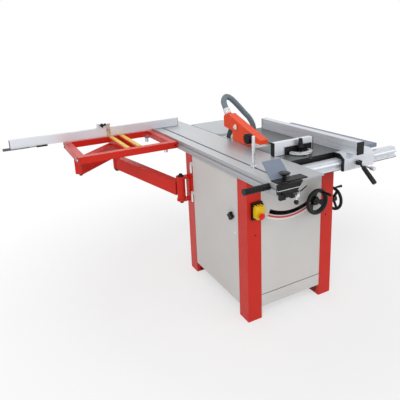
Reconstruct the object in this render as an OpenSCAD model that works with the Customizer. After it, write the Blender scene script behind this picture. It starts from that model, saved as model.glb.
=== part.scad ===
// Sliding table saw: cabinet on four corner legs, cast main table, sliding carriage with an
// outrigger on a swinging arm, tilting blade unit, rip fence, mitre gauge and blade guard.
// X to the right, Y along the cut away from the operator, Z up. The origin is on the floor,
// midway between the four legs.

/* [Machine] */
// Height of the table top above the floor
table_h = 850; // [820:5:900]
// Overrun of every cut past the face it opens
overrun = 2; // [1:0.5:4]
// Running gap between faces that slide past each other
slide_gap = 0.5; // [0.3:0.1:1]

/* [Cabinet] */
// Width over the legs
cab_w = 562; // [540:2:600]
// Depth over the legs
cab_d = 674; // [640:2:720]
// Width of a leg flange
leg_flange = 84; // [70:1:95]
// Sheet thickness of a leg
leg_t = 3; // [2:0.5:5]
// Depth of the fold at a leg flange's edge
leg_lip = 22; // [16:1:30]
// Thickness of a foot plate
foot_t = 6; // [4:1:10]
// Radius of a floor bolt hole
foot_hole_r = 6.5; // [5:0.5:8]
// Floor bolt's distance from the leg's outer faces
foot_hole_in = 42; // [34:1:50]
// Sheet thickness of the panels
panel_t = 2; // [1.5:0.5:3]
// Step of the panels behind the legs' faces
panel_step = 1; // [0.5:0.5:3]
// Depth of the folds round a panel
panel_fold = 16; // [10:1:20]
// Height of the cabinet's lower edge
panel_low_z = 68; // [50:1:90]
// Height of the chip pan's front strip
pan_h = 68; // [50:1:90]
// Gap above the chip pan's front strip
pan_gap = 4; // [2:0.5:6]

/* [Main table] */
// Width of the cast table
table_w = 346; // [320:1:400]
// Depth of the cast table
table_d = 731; // [690:1:780]
// Front edge of the table in front of the cabinet's middle
table_front = 359; // [345:1:375]
// Depth of the table's rim
table_rim_h = 40; // [34:1:46]
// Thickness of the table's plate
table_t = 9; // [8:0.5:11]
// Width of the mitre slot
mitre_slot_w = 19.2; // [18:0.1:20]
// Depth of the mitre slot
mitre_slot_d = 9.6; // [8:0.1:11]
// Mitre slot to the right of the saw blade
mitre_slot_off = 113; // [105:1:120]
// Width of the right wing
wing_w = 258; // [220:1:280]
// Depth of the wing's folded edge
wing_h = 22; // [18:1:28]
// Width of the rear table
rear_w = 276; // [255:1:280]
// Length of the rear table
rear_l = 400; // [340:5:440]

/* [Saw blade] */
// Blade diameter
blade_d = 250; // [230:1:260]
// Blade plate thickness
blade_t = 2.2; // [1.8:0.1:2.8]
// Width of the tooth tips
kerf = 3.2; // [2.8:0.1:3.6]
// Number of teeth
blade_teeth = 24; // [18:1:36]
// Arbor's depth below the table with the blade raised
arbor_deep = 50; // [48:0.5:54]
// Blade centre behind the cabinet's middle
blade_y = 125; // [110:1:140]

/* [Sliding table] */
// Width of the carriage
car_w = 265; // [255:1:275]
// Length of the carriage and of its rail
car_l = 1600; // [1500:10:1700]
// Front end of the carriage in front of the cabinet's middle
car_front = 595; // [580:5:630]
// Height of carriage and rail together
slide_h = 62; // [60:1:66]
// Height of the rail's box
rail_h = 18; // [16:1:20]
// Width of the T-slot's mouth
tslot_w = 12; // [10:0.5:14]
// T-slot's distance from the carriage's left edge
tslot_in = 65; // [58:1:72]

/* [Outrigger] */
// Width of the outrigger, across the cut
out_w = 613; // [580:1:640]
// Depth of the outrigger, along the cut
out_d = 460; // [430:1:490]
// Front of the outrigger behind the cabinet's middle
out_front = 401; // [380:1:420]
// Width of the frame's tubes
out_tube_w = 42; // [36:1:48]
// Height of the frame's tubes
out_tube_h = 40; // [34:1:42]
// Length of the crosscut fence
fence_l = 1117; // [1000:1:1200]
// Height of the crosscut fence
fence_h = 56; // [48:1:64]
// Thickness of the crosscut fence
fence_t = 26; // [20:1:32]

/* [Support arm] */
// Width of an arm's tube
arm_w = 50; // [44:1:56]
// Height of an arm's tube
arm_h = 86; // [76:1:90]

/* [Rip fence] */
// Length of the front rail
rail_front_l = 692; // [640:2:740]
// Length of the rip fence
rip_l = 826; // [780:2:860]
// Height of the rip fence
rip_h = 66; // [58:1:80]
// Thickness of the rip fence
rip_t = 44; // [36:1:50]
// Length of the head on the front rail
rip_head_l = 216; // [180:2:240]
// Rip fence's face to the right of the blade
rip_off = 309; // [295:1:330]

/* [Mitre gauge] */
// Length of the gauge's fence
mitre_fence_l = 250; // [230:2:260]
// Height of the gauge's fence
mitre_fence_h = 70; // [55:1:80]
// Radius of the gauge's quadrant
mitre_r = 68; // [58:1:74]

/* [Handwheels] */
// Diameter of a handwheel
wheel_d = 144; // [130:1:150]
// Distance of the height wheel's shaft from the tilt axis
height_r = 282; // [272:0.5:286]
// Angle of the height wheel's shaft with the blade upright
height_a = 30; // [27:0.1:31]

/* [Hidden] */
$fn = 48;

// Main places
half_w = cab_w / 2;
half_d = cab_d / 2;
blade_x = -12;
arbor_z = table_h - arbor_deep;
table_left = 19;
table_x0 = blade_x - table_left;
table_x1 = table_x0 + table_w;
table_y0 = -table_front;
table_y1 = table_y0 + table_d;
table_low_z = table_h - table_rim_h;
side_gap = 4;
car_x1 = table_x0 - side_gap;
car_x0 = car_x1 - car_w;
car_y0 = -car_front;
car_y1 = car_y0 + car_l;
slide_low_z = table_h - slide_h;
rail_top_z = slide_low_z + rail_h;
cab_top_z = slide_low_z - 2 * panel_t;
seat_t = 6;
leg_left_h = slide_low_z - seat_t;
rot_clear = 0.3;
roll_clear = 0.3;
fit_clear = 0.05;

// Basic shapes

module box(x0, x1, y0, y1, z0, z1) {
  translate([x0, y0, z0]) cube([x1 - x0, y1 - y0, z1 - z0]);
}

module rod_x(r, x0, x1, y, z) {
  translate([x0, y, z]) rotate([0, 90, 0]) cylinder(r = r, h = x1 - x0);
}

module rod_y(r, y0, y1, x, z) {
  translate([x, y1, z]) rotate([90, 0, 0]) cylinder(r = r, h = y1 - y0);
}

module rod_z(r, z0, z1, x, y) {
  translate([x, y, z0]) cylinder(r = r, h = z1 - z0);
}

// Profile drawn in X and Z, run along Y
module along_y(y0, y1) {
  translate([0, y1, 0]) rotate([90, 0, 0]) linear_extrude(y1 - y0) children();
}

// Profile drawn in Y and Z, run along X
module along_x(x0, x1) {
  translate([x0, 0, 0]) rotate([90, 0, 90]) linear_extrude(x1 - x0) children();
}

module rect(x0, x1, y0, y1) {
  translate([x0, y0]) square([x1 - x0, y1 - y0]);
}

module round_rect(x0, x1, y0, y1, r) {
  rect(x0 + r, x1 - r, y0, y1);
  rect(x0, x1, y0 + r, y1 - r);
  for (x = [x0 + r, x1 - r], y = [y0 + r, y1 - r]) translate([x, y]) circle(r);
}

// Star knob round Z with its stem's end at zero
lobes = 4;
lobe_share = 0.34;
lobe_seat_share = 0.66;
module star_knob(r, h, stem_r, stem_h) {
  cylinder(r = stem_r, h = stem_h + h / 2);
  translate([0, 0, stem_h]) {
    cylinder(r = r * lobe_seat_share, h = h);
    for (i = [0 : lobes - 1])
      rotate(i * 360 / lobes) translate([r * lobe_seat_share, 0]) cylinder(r = r * lobe_share, h = h);
  }
}

// Mushroom knob round Z, flat on its stem
mush_under_share = 0.42;
mush_edge_share = 0.3;
module mushroom(r, h, stem_r, stem_h) {
  cylinder(r = stem_r, h = stem_h + overrun);
  translate([0, 0, stem_h]) rotate_extrude() polygon([
    [0, 0], [r * mush_under_share, 0], [r * (1 - mush_edge_share / 2), h * mush_under_share],
    [r, h * (1 - mush_edge_share)], [r * (1 - mush_edge_share), h], [0, h]]);
}

// Cabinet

module leg_profile() {
  square([leg_flange, leg_t]);
  square([leg_t, leg_flange]);
  translate([leg_flange - leg_t, 0]) square([leg_t, leg_lip]);
  translate([0, leg_flange - leg_t]) square([leg_lip, leg_t]);
}

module leg(side_x, side_y, h) {
  translate([side_x * half_w, side_y * half_d, 0]) mirror([side_x > 0 ? 1 : 0, 0, 0])
    mirror([0, side_y > 0 ? 1 : 0, 0]) {
      linear_extrude(h) leg_profile();
      difference() {
        cube([leg_flange, leg_flange, foot_t]);
        translate([foot_hole_in, foot_hole_in, -overrun]) cylinder(r = foot_hole_r,
            h = foot_t + 2 * overrun);
      }
      translate([0, 0, h - foot_t]) cube([leg_flange, leg_flange, foot_t]);
    }
}

module left_legs() {
  color("firebrick") for (side = [-1, 1]) leg(-1, side, leg_left_h);
}

module right_legs() {
  color("firebrick") for (side = [-1, 1]) leg(1, side, table_low_z);
}

bay_x = half_w - leg_flange;
bay_y = half_d - leg_flange;
panel_front_z = panel_low_z + pan_h + pan_gap;

// Sheet with its four edges folded inwards, its face on zero, drawn in X and Y and folded towards +Z
module folded_sheet(x0, x1, y0, y1, t, fold) {
  difference() {
    translate([x0, y0, 0]) cube([x1 - x0, y1 - y0, fold]);
    translate([x0 + t, y0 + t, t]) cube([x1 - x0 - 2 * t, y1 - y0 - 2 * t, fold]);
  }
}

// Arc slots of the front panel, round the tilt axis
slot_w = 23;
slot_from = -28;
slot_to = 35;
lock_r = 194;
lock_w = 8;
lock_from = 12;
lock_to = 34;

// Part of a ring round the tilt axis, running along Y
module tilt_arc(r, w, from, to, y0, y1) {
  translate([blade_x, y1, table_h]) rotate([90, 0, 0]) rotate(from - 90) rotate_extrude(angle = to - from)
    translate([r - w / 2, 0]) square([w, y1 - y0]);
}

module front_panel() {
  color("gainsboro") difference() {
    translate([0, -half_d + panel_step, 0]) rotate([90, 0, 0]) mirror([0, 0, 1])
      folded_sheet(-bay_x, bay_x, panel_front_z, cab_top_z, panel_t, panel_fold);
    tilt_arc(height_r, slot_w, slot_from, slot_to, -half_d - overrun, -half_d + panel_fold);
    tilt_arc(lock_r, lock_w, lock_from, lock_to, -half_d - overrun, -half_d + panel_fold);
  }
}

// Right panel, with the hole for the tilt wheel's shaft
tilt_wheel_y = -228;
tilt_wheel_drop = 267;
tilt_wheel_z = cab_top_z - tilt_wheel_drop;
shaft_r = 8;
module right_panel() {
  color("gainsboro") difference() {
    translate([half_w - panel_step, 0, 0]) rotate([90, 0, -90])
      folded_sheet(-bay_y, bay_y, panel_low_z, cab_top_z, panel_t, panel_fold);
    rod_x(shaft_r + fit_clear, half_w - panel_fold - overrun, half_w + overrun, tilt_wheel_y, tilt_wheel_z);
  }
}

// Rear panel, with louvres and the chip outlet
port_x = 110;
port_drop = 314;
port_z = cab_top_z - port_drop;
port_r = 50;
port_wall = 3;
louvres = 5;
louvre_w = 120;
louvre_h = 8;
louvre_pitch = 24;
louvre_x = -100;
louvre_drop = 224;
louvre_z = cab_top_z - louvre_drop;
module rear_panel() {
  color("gainsboro") difference() {
    translate([0, half_d - panel_step, 0]) rotate([90, 0, 0])
      folded_sheet(-bay_x, bay_x, panel_front_z, cab_top_z, panel_t, panel_fold);
    rod_y(port_r - port_wall, half_d - panel_fold - overrun, half_d + overrun, port_x, port_z);
    for (i = [0 : louvres - 1])
      box(louvre_x - louvre_w / 2, louvre_x + louvre_w / 2, half_d - panel_fold, half_d + overrun,
        louvre_z + i * louvre_pitch, louvre_z + i * louvre_pitch + louvre_h);
  }
}

// Chip pan: folded tray whose front shows as the lower strip
module chip_pan() {
  pan_y = half_d - panel_step;
  color("gainsboro") translate([0, 0, panel_low_z])
    folded_sheet(-bay_x, bay_x, -pan_y, pan_y, panel_t, pan_h);
}

// Front and rear channels that carry the table
frame_deep = 40;
frame_t = 4;
frame_h = 60;
frame_low_z = table_low_z - frame_h;
frame_x0s = [-105, 100];
module top_frame() {
  frame_y = half_d - panel_step - panel_fold;
  color("dimgray") for (side = [0, 1]) mirror([0, side, 0])
    along_x(frame_x0s[side], bay_x) difference() {
      rect(-frame_y, -frame_y + frame_deep, frame_low_z, table_low_z);
      rect(-frame_y + frame_t, -frame_y + frame_deep + overrun, frame_low_z + frame_t,
          table_low_z - frame_t);
    }
}

// Slide rail and what carries it
rail_in = 10;
rail_w = 118;
rail_wall = 4;
rail_rib_w = 8;
rail_rib_h = 8;
rail_x0 = car_x0 + rail_in;
rail_x1 = rail_x0 + rail_w;
bracket_w = 76;
end_t = 14;
module rail_brackets() {
  end_w = 88;
  end_drop = 8;
  end_leg_w = 30;
  color("black") {
    for (side = [0, 1]) mirror([0, side, 0])
      box(-half_w, -half_w + bracket_w, -half_d, -half_d + leg_flange, leg_left_h, slide_low_z);
    along_y(car_y0 - end_t, car_y0) difference() {
      rect(rail_x0, rail_x0 + end_w, slide_low_z - end_drop, rail_top_z - slide_gap);
      rect(rail_x0 + end_leg_w, rail_x0 + end_w - end_leg_w, slide_low_z - end_drop - overrun, slide_low_z);
    }
  }
}

module slide_rail() {
  rib_y = [rail_x0 + rail_wall, rail_x1 - rail_wall - rail_rib_w];
  color("silver") along_y(car_y0, car_y1) {
    difference() {
      rect(rail_x0, rail_x1, slide_low_z, rail_top_z);
      for (i = [0 : 2])
        rect(rail_x0 + rail_wall + i * (rail_w - rail_wall) / 3,
            rail_x0 + (i + 1) * (rail_w - rail_wall) / 3,
          slide_low_z + rail_wall, rail_top_z - rail_wall);
    }
    for (x = rib_y) rect(x, x + rail_rib_w, rail_top_z, rail_top_z + rail_rib_h);
  }
}

// Rollers between rail and carriage, in one long cage that travels half as far
roller_n = 7;
roller_pitch = 90;
roller_l = 26;
cage_t = 3;
cage_h = 8;
tslot_box_w = 36;
tslot_box_h = 16;
car_t = 8;
tslot_x = car_x0 + tslot_in;
track_z = table_h - car_t - tslot_box_h;
roller_r = (track_z - rail_top_z) / 2 - roll_clear;
roller_z = (track_z + rail_top_z) / 2;
roller_y0 = (car_y0 + car_y1) / 2 - (roller_n - 1) * roller_pitch / 2;
module roller_cage() {
  color("gray") {
    for (i = [0 : roller_n - 1])
      rod_x(roller_r, tslot_x - roller_l / 2, tslot_x + roller_l / 2, roller_y0 + i * roller_pitch,
          roller_z);
    for (side = [-1, 1])
      translate([tslot_x + side * (roller_l + cage_t) / 2 - cage_t / 2, roller_y0 - roller_r,
          roller_z - cage_h / 2])
        cube([cage_t, (roller_n - 1) * roller_pitch + 2 * roller_r, cage_h]);
  }
}

// Main table: ribbed casting, open on the left for the insert
rim_t = 10;
rib_t = 7;
rib_h = 22;
ribs_y = 5;
insert_w = 92;
insert_t = 4;
insert_ledge = 10;
insert_y0 = -52;
insert_y1 = 312;
insert_gap = 0.3;
mitre_x = blade_x + mitre_slot_off;
mitre_boss = 12;
mitre_boss_h = 8;
tilt_room = 60;
insert_x1 = table_x0 + insert_w;
module main_table() {
  plate_z = table_h - table_t;
  throat_x1 = insert_x1 - insert_ledge;
  color("dimgray") difference() {
    union() {
      box(table_x0, table_x1, table_y0, table_y1, plate_z, table_h);
      difference() {
        box(table_x0, table_x1, table_y0, table_y1, table_low_z, plate_z + overrun);
        box(table_x0 + rim_t, table_x1 - rim_t, table_y0 + rim_t, table_y1 - rim_t,
          table_low_z - overrun, plate_z);
      }
      for (i = [1 : ribs_y - 1])
        box(throat_x1 + rim_t, table_x1 - rim_t, table_y0 + i * table_d / ribs_y - rib_t / 2,
          table_y0 + i * table_d / ribs_y + rib_t / 2, table_h - table_t - rib_h, plate_z);
      box(mitre_x - mitre_slot_w / 2 - mitre_boss, mitre_x + mitre_slot_w / 2 + mitre_boss,
        table_y0, table_y1, table_h - mitre_slot_d - mitre_boss_h, plate_z);
    }
    box(table_x0 - overrun, throat_x1, insert_y0 + insert_ledge, insert_y1 - insert_ledge,
      table_low_z - overrun, table_h + overrun);
    box(table_x0 - overrun, insert_x1, insert_y0, insert_y1, table_h - insert_t, table_h + overrun);
    box(table_x0 - overrun, table_x0 + rim_t + overrun, insert_y0 - tilt_room, insert_y1 - insert_ledge,
      table_low_z - overrun, plate_z - overrun);
    box(mitre_x - mitre_slot_w / 2, mitre_x + mitre_slot_w / 2, table_y0 - overrun, table_y1 + overrun,
      table_h - mitre_slot_d, table_h + overrun);
  }
}

// Insert round the blade
insert_slot_left = 9;
insert_slot_right = 4;
insert_slot_y0 = -2;
insert_slot_y1 = 302;
module table_insert() {
  color("silver") difference() {
    box(table_x0, insert_x1 - insert_gap, insert_y0 + insert_gap, insert_y1 - insert_gap,
      table_h - insert_t, table_h);
    box(blade_x - insert_slot_left, blade_x + insert_slot_right, insert_slot_y0, insert_slot_y1,
      table_h - insert_t - overrun, table_h + overrun);
  }
}

// Wing and rear table: pressed sheet with folded edges
sheet_t = 3;
wing_rib_h = 12;
module table_wing() {
  color("lightslategray") {
    translate([0, 0, table_h]) mirror([0, 0, 1])
      folded_sheet(table_x1, table_x1 + wing_w, table_y0, table_y1, sheet_t, wing_h);
    for (i = [1 : 2])
      box(table_x1 + sheet_t, table_x1 + wing_w - sheet_t, table_y0 + i * table_d / 3 - sheet_t,
        table_y0 + i * table_d / 3, table_h - sheet_t - wing_rib_h, table_h - sheet_t);
  }
}

rear_h = 25;
rear_r = 46;
rear_edge_r = 12;
rear_step = 3;
rear_x0 = table_x0 + rear_step;
brace_w = 24;
brace_t = 5;
module rear_outline(in) {
  x0 = rear_x0 + in;
  x1 = rear_x0 + rear_w - in;
  y0 = table_y1 + in;
  y1 = table_y1 + rear_l - in;
  r = rear_r - in;
  e = rear_edge_r - in;
  rect(x0 + r, x1, y0, y1 - e);
  rect(x0, x1, y0 + r, y1 - e);
  rect(x0 + e, x1 - e, y0 + r, y1);
  translate([x0 + r, y0 + r]) circle(r);
  for (x = [x0 + e, x1 - e]) translate([x, y1 - e]) circle(e);
}

module rear_table() {
  brace_z = 200;
  brace_y = 250;
  color("lightgray") {
    translate([0, 0, table_h - sheet_t]) linear_extrude(sheet_t) rear_outline(0);
    translate([0, 0, table_h - rear_h]) linear_extrude(rear_h) difference() {
      rear_outline(0);
      rear_outline(sheet_t);
    }
    for (x = [rear_x0 + rear_r, rear_x0 + rear_w / 2]) along_x(x, x + brace_t)
      polygon([[half_d, table_h - rear_h - brace_z], [half_d + brace_w, table_h - rear_h - brace_z],
        [half_d + brace_y, table_h - sheet_t], [half_d + brace_y - 2 * brace_w, table_h - sheet_t],
        [half_d, table_h - rear_h - brace_z + 2 * brace_w]]);
  }
}

// Front rail with its round guide, and the black strip behind it
guide_h = 57;
guide_deep = 42;
guide_drop = 25;
guide_top_z = table_h - guide_drop;
guide_in = 1;
guide_x0 = table_x0 + guide_in;
guide_x1 = guide_x0 + rail_front_l;
guide_off = 19;
guide_y1 = table_y0 - guide_off;
guide_y0 = guide_y1 - guide_deep;
guide_bulge_r = 11;
guide_wall = 4;
guide_lip = 12;
module front_rail() {
  low = guide_top_z - guide_h;
  mid = low + guide_h / 2;
  body = guide_y0 + guide_bulge_r;
  color("silver") along_x(guide_x0, guide_x1) difference() {
    union() {
      rect(body, guide_y1, low, guide_top_z);
      translate([body, mid + guide_lip / 2]) circle(guide_bulge_r);
      rect(guide_y0, body, low, low + guide_lip);
    }
    rect(body + guide_wall, guide_y1 - guide_wall, low + guide_wall, mid - guide_wall / 2);
    rect(body + guide_wall, guide_y1 - guide_wall, mid + guide_wall / 2, guide_top_z - guide_wall);
  }
}

strip_deep = 14;
module rail_backing() {
  color("black")
    box(guide_x0, table_x1, guide_y1, table_y0, table_low_z, table_low_z + strip_deep);
}

// Switch on the front left leg
switch_in = 55;
switch_x = -half_w + switch_in;
switch_drop = 158;
switch_z = cab_top_z - switch_drop;
switch_w = 64;
switch_h = 90;
switch_deep = 10;
switch_box_w = 50;
switch_box_h = 60;
switch_box_deep = 28;
button_r = 17;
button_deep = 12;
button_drop = 16;
button_z = switch_z - button_drop;
start_r = 9;
start_rise = 10;
start_z = switch_z + start_rise;
plate_r = 2;
switch_y = -half_d;
cover_gap = 0.6;
ridge_n = 3;
ridge_w = switch_box_w / ridge_n;
cover_drop = 4;
cover_top_z = switch_z - cover_drop + switch_box_h / 2;
cover_pin_r = 1.5;
cover_pin_in = 5;
cover_pin_deep = 2.2;
cover_pin_y = switch_y - switch_deep - cover_gap - cover_pin_in;
cover_pin_z = cover_top_z + ridge_w / 2 - cover_pin_deep;
module switch_plate() {
  color("black") difference() {
    union() {
      along_y(switch_y - switch_deep, switch_y)
        round_rect(switch_x - switch_w / 2, switch_x + switch_w / 2, switch_z - switch_h / 2,
          switch_z + switch_h / 2, plate_r);
      along_y(switch_y - switch_deep - switch_box_deep / 3, switch_y)
        rect(switch_x - start_r - panel_t, switch_x + start_r + panel_t, start_z - start_r - panel_t,
          start_z + start_r + panel_t);
      for (side = [0, 1]) translate([switch_x, 0, 0]) mirror([side, 0, 0])
        box(switch_box_w / 2 + cover_gap, switch_w / 2, cover_pin_y - 2 * cover_pin_r,
          switch_y - switch_deep / 2, cover_pin_z - 2 * cover_pin_r, cover_pin_z + 2 * cover_pin_r);
      rod_x(cover_pin_r, switch_x - switch_w / 2, switch_x + switch_w / 2, cover_pin_y, cover_pin_z);
    }
    rod_y(start_r + rot_clear, switch_y - switch_deep - switch_box_deep, switch_y - panel_t, switch_x,
        start_z);
  }
}

// Green start button under the cover, in its well
module start_button() {
  color("green")
    rod_y(start_r, switch_y - switch_deep - switch_box_deep / 3 - panel_t, switch_y - switch_deep / 2,
      switch_x, start_z);
}

// Yellow flap with three ridges on its top edge, hung on a pin through the ridges
cover_y0 = switch_y - switch_deep - cover_gap - switch_box_deep;
cover_wall = 2.5;
module switch_cover() {
  top = cover_top_z;
  low = top - switch_box_h;
  left = switch_x - switch_box_w / 2;
  color("gold") difference() {
    along_y(cover_y0, switch_y - switch_deep - cover_gap) {
      round_rect(left, left + switch_box_w, low, top, ridge_w / 2);
      for (i = [0 : ridge_n - 1]) translate([left + (i + 1 / 2) * ridge_w, top]) circle(ridge_w / 2);
      rect(left, left + switch_box_w, low + switch_box_h / 2, top);
    }
    along_y(cover_y0 + cover_wall, switch_y)
      rect(left + cover_wall, left + switch_box_w - cover_wall, low + ridge_w / 2, top - cover_wall);
    rod_y(button_r / 2 + rot_clear, cover_y0 - overrun, switch_y, switch_x, button_z);
    rod_x(cover_pin_r + fit_clear, left - overrun, left + switch_box_w + overrun, cover_pin_y, cover_pin_z);
  }
}

// Red mushroom button through the cover
module stop_button() {
  press = 4;
  color("red") {
    rod_y(button_r / 2, cover_y0 - press, cover_y0 + cover_wall + press, switch_x, button_z);
    translate([switch_x, cover_y0 - press, button_z]) rotate([90, 0, 0])
      mushroom(button_r, button_deep, button_r / 2, 0);
  }
}

// Left side door with its hinges and star knob
door_gap = 2;
hinge_r = 6;
hinge_l = 46;
hinge_drops = [278, 91];
hinge_zs = [for (d = hinge_drops) cab_top_z - d];
door_hinge_x = -half_w - hinge_r;
door_hinge_y = bay_y + hinge_r;
leaf_w = 26;
module door_hinges() {
  color("white") for (z = hinge_zs) {
    rod_z(hinge_r, z - hinge_l / 2, z + hinge_l / 2, door_hinge_x, door_hinge_y);
    rod_z(hinge_r / 2, z, z + hinge_l, door_hinge_x, door_hinge_y);
    box(-half_w - panel_t, -half_w, door_hinge_y, door_hinge_y + leaf_w, z - hinge_l / 2, z + hinge_l / 2);
  }
}

door_knob_y = -197;
door_knob_drop = 223;
door_knob_z = cab_top_z - door_knob_drop;
door_knob_r = 22;
door_knob_h = 16;
door_stem_r = 5;
module side_door() {
  color("gainsboro") difference() {
    union() {
      translate([-half_w + panel_step, 0, 0]) rotate([90, 0, 90])
        folded_sheet(-bay_y + door_gap, bay_y - door_gap, panel_low_z, cab_top_z, panel_t, panel_fold);
      for (z = hinge_zs) {
        rod_z(hinge_r, z + hinge_l / 2 + roll_clear, z + hinge_l, door_hinge_x, door_hinge_y);
        box(-half_w - panel_t, -half_w, bay_y - leaf_w, door_hinge_y, z + hinge_l / 2 + roll_clear,
            z + hinge_l);
        box(-half_w - panel_t, -half_w + panel_t, bay_y - leaf_w, bay_y - 2 * door_gap,
          z + hinge_l / 2 + roll_clear, z + hinge_l);
      }
    }
    for (z = hinge_zs)
      rod_z(hinge_r / 2 + fit_clear, z, z + hinge_l + overrun, door_hinge_x, door_hinge_y);
    rod_x(door_stem_r + fit_clear, -half_w - overrun, -half_w + panel_fold, door_knob_y, door_knob_z);
  }
}

module door_knob() {
  color("black") translate([-half_w + panel_fold, door_knob_y, door_knob_z]) rotate([0, -90, 0])
    star_knob(door_knob_r, door_knob_h, door_stem_r, panel_fold + panel_t);
}

// Carriage

groove_h = 9;
groove_deep = 6;
side_wall_w = 12;
right_leg_x0 = rail_x1 - 2 * rail_wall;
right_leg_w = 10;
tslot_cham_w = 22;
tslot_cham_h = 8;
skirt_gap = 1;
track_wall = 5;
module carriage_profile() {
  top = table_h;
  plate = top - car_t;
  skirt = rail_top_z + rail_rib_h + skirt_gap;
  difference() {
    union() {
      rect(car_x0, car_x1, plate, top);
      rect(car_x0, car_x0 + side_wall_w, rail_top_z + skirt_gap, plate);
      rect(right_leg_x0, right_leg_x0 + right_leg_w, skirt, plate);
      rect(tslot_x - tslot_box_w / 2, tslot_x + tslot_box_w / 2, track_z, plate);
      rect(right_leg_x0 - tslot_box_w, right_leg_x0 - tslot_box_w + track_wall, skirt, plate);
    }
    rect(tslot_x - tslot_w / 2, tslot_x + tslot_w / 2, plate - tslot_cham_h / 2, top + overrun);
    rect(tslot_x - tslot_cham_w / 2, tslot_x + tslot_cham_w / 2, plate - tslot_cham_h, plate);
    rect(car_x0 - overrun, car_x0 + groove_deep, plate - 2 * groove_h, plate - groove_h);
  }
}

module carriage() {
  color("silver") along_y(car_y0, car_y1) carriage_profile();
}

cap_t = 14;
cap_w = 134;
cap_slope = 32;
module carriage_end_cap() {
  color("black") for (y = [car_y0 - cap_t, car_y1])
    along_y(y, y + cap_t) difference() {
      polygon([[car_x0, table_h], [car_x0 + cap_w, table_h],
        [car_x0 + cap_w - cap_slope, rail_top_z + skirt_gap], [car_x0, rail_top_z + skirt_gap]]);
      rect(rail_x0 + rail_wall - skirt_gap, rail_x0 + rail_wall + rail_rib_w + skirt_gap, rail_top_z,
        rail_top_z + rail_rib_h + skirt_gap);
    }
}

// Grip on the carriage's left side: rod, collar and ribbed sleeve
grip_y = -542;
grip_z = table_h - car_t - groove_h * 3 / 2;
grip_r = 15;
grip_l = 116;
grip_collar = 8;
grip_rings = 7;
module push_grip() {
  color("black") translate([car_x0 + groove_deep, grip_y, grip_z]) rotate([0, -90, 0]) {
    cylinder(r = groove_h / 2 - rot_clear, h = groove_deep + grip_collar);
    translate([0, 0, groove_deep]) cylinder(r = grip_r, h = grip_collar);
    translate([0, 0, groove_deep + grip_collar]) cylinder(r = grip_r - panel_t, h = grip_l);
    for (i = [0 : grip_rings - 1])
      translate([0, 0, groove_deep + grip_collar + (i + 1 / 4) * grip_l / grip_rings])
        cylinder(r = grip_r, h = grip_l / grip_rings / 2);
    translate([0, 0, groove_deep + grip_collar + grip_l - panel_t]) cylinder(r = grip_r, h = grip_collar);
  }
}

// Edging shoe: bent plate clamped in the T-slot
shoe_w = 160;
shoe_plate_w = 100;
shoe_foot = 50;
shoe_t = 5;
shoe_rise = 100;
shoe_lean = 45;
shoe_in = 11;
shoe_x0 = car_x0 + shoe_in;
shoe_back = 1;
shoe_y0 = car_y0 + shoe_back;
shoe_bolt_in = 28;
shoe_bolt_y = shoe_y0 + shoe_bolt_in;
bolt_r = 4;
nut_h = 6;
module tee_nut(y, w, z1, r) {
  nut = tslot_cham_w - 2 * overrun;
  box(tslot_x - nut / 2, tslot_x + nut / 2, y - w / 2, y + w / 2,
      table_h - car_t - tslot_cham_h + roll_clear,
    table_h - car_t - tslot_cham_h + roll_clear + nut_h);
  rod_z(r, table_h - car_t - tslot_cham_h + nut_h / 2, z1, tslot_x, y);
}

module edging_shoe() {
  heel = shoe_y0 + shoe_foot;
  lip = [heel + shoe_rise * cos(shoe_lean), table_h + shoe_rise * sin(shoe_lean)];
  color("slategray") {
    box(shoe_x0, shoe_x0 + shoe_w, shoe_y0, heel, table_h, table_h + shoe_t);
    along_x(shoe_x0, shoe_x0 + shoe_plate_w) polygon([[heel - shoe_t, table_h], [heel, table_h], lip,
      lip - [shoe_t, 0], [heel - shoe_t, table_h + shoe_t]]);
    tee_nut(shoe_bolt_y, 2 * tslot_w, table_h + shoe_t, bolt_r);
  }
}

shoe_knob_r = 27;
shoe_knob_h = 15;
shoe_knob_stem = 18;
module shoe_knob() {
  color("black") translate([tslot_x, shoe_bolt_y, table_h + shoe_t + roll_clear])
    mushroom(shoe_knob_r, shoe_knob_h, shoe_knob_r / 3, shoe_knob_stem);
}

// Hold-down post in the T-slot
post_y = -334;
post_r = 8;
post_h = 152;
post_foot_r = 15;
post_foot_h = 8;
module clamp_post() {
  color("silver") {
    tee_nut(post_y, 2 * tslot_w, table_h + post_foot_h, bolt_r);
    rod_z(post_foot_r, table_h, table_h + post_foot_h, tslot_x, post_y);
    rod_z(post_r, table_h, table_h + post_h, tslot_x, post_y);
    translate([tslot_x, post_y, table_h + post_h]) cylinder(r1 = post_r, r2 = post_r - panel_t,
        h = panel_t);
  }
}

// Carriage lock on the rail's front end
lever_in = 76;
lever_x = rail_x0 + lever_in;
lever_drop = 9;
lever_z = rail_top_z - lever_drop;
lever_r = 4;
lever_l = 34;
ball_r = 11;
lever_y = car_y0 - end_t;
module lock_lever() {
  hub_r = 8;
  hub_l = 26;
  color("gainsboro") {
    rod_y(hub_r, lever_y - hub_l, lever_y - roll_clear, lever_x, lever_z);
    rod_z(lever_r, lever_z - lever_l, lever_z, lever_x, lever_y - hub_l / 2);
    translate([lever_x, lever_y - hub_l / 2, lever_z - lever_l]) sphere(r = ball_r);
  }
}

// Outrigger

out_gap = 1;
out_x1 = car_x0 - out_gap;
out_x0 = out_x1 - out_w;
out_y0 = out_front;
out_y1 = out_y0 + out_d;
out_drop = 10;
out_top_z = table_h - out_drop;
out_low_z = out_top_z - out_tube_h;
tube_wall = 3;
beam_x_shares = [0.467, 0.585];
beam_w = 38;

module tube_x(x0, x1, y0, y1, z0, z1, t) {
  difference() {
    box(x0, x1, y0, y1, z0, z1);
    box(x0 - overrun, x1 + overrun, y0 + t, y1 - t, z0 + t, z1 - t);
  }
}

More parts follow.
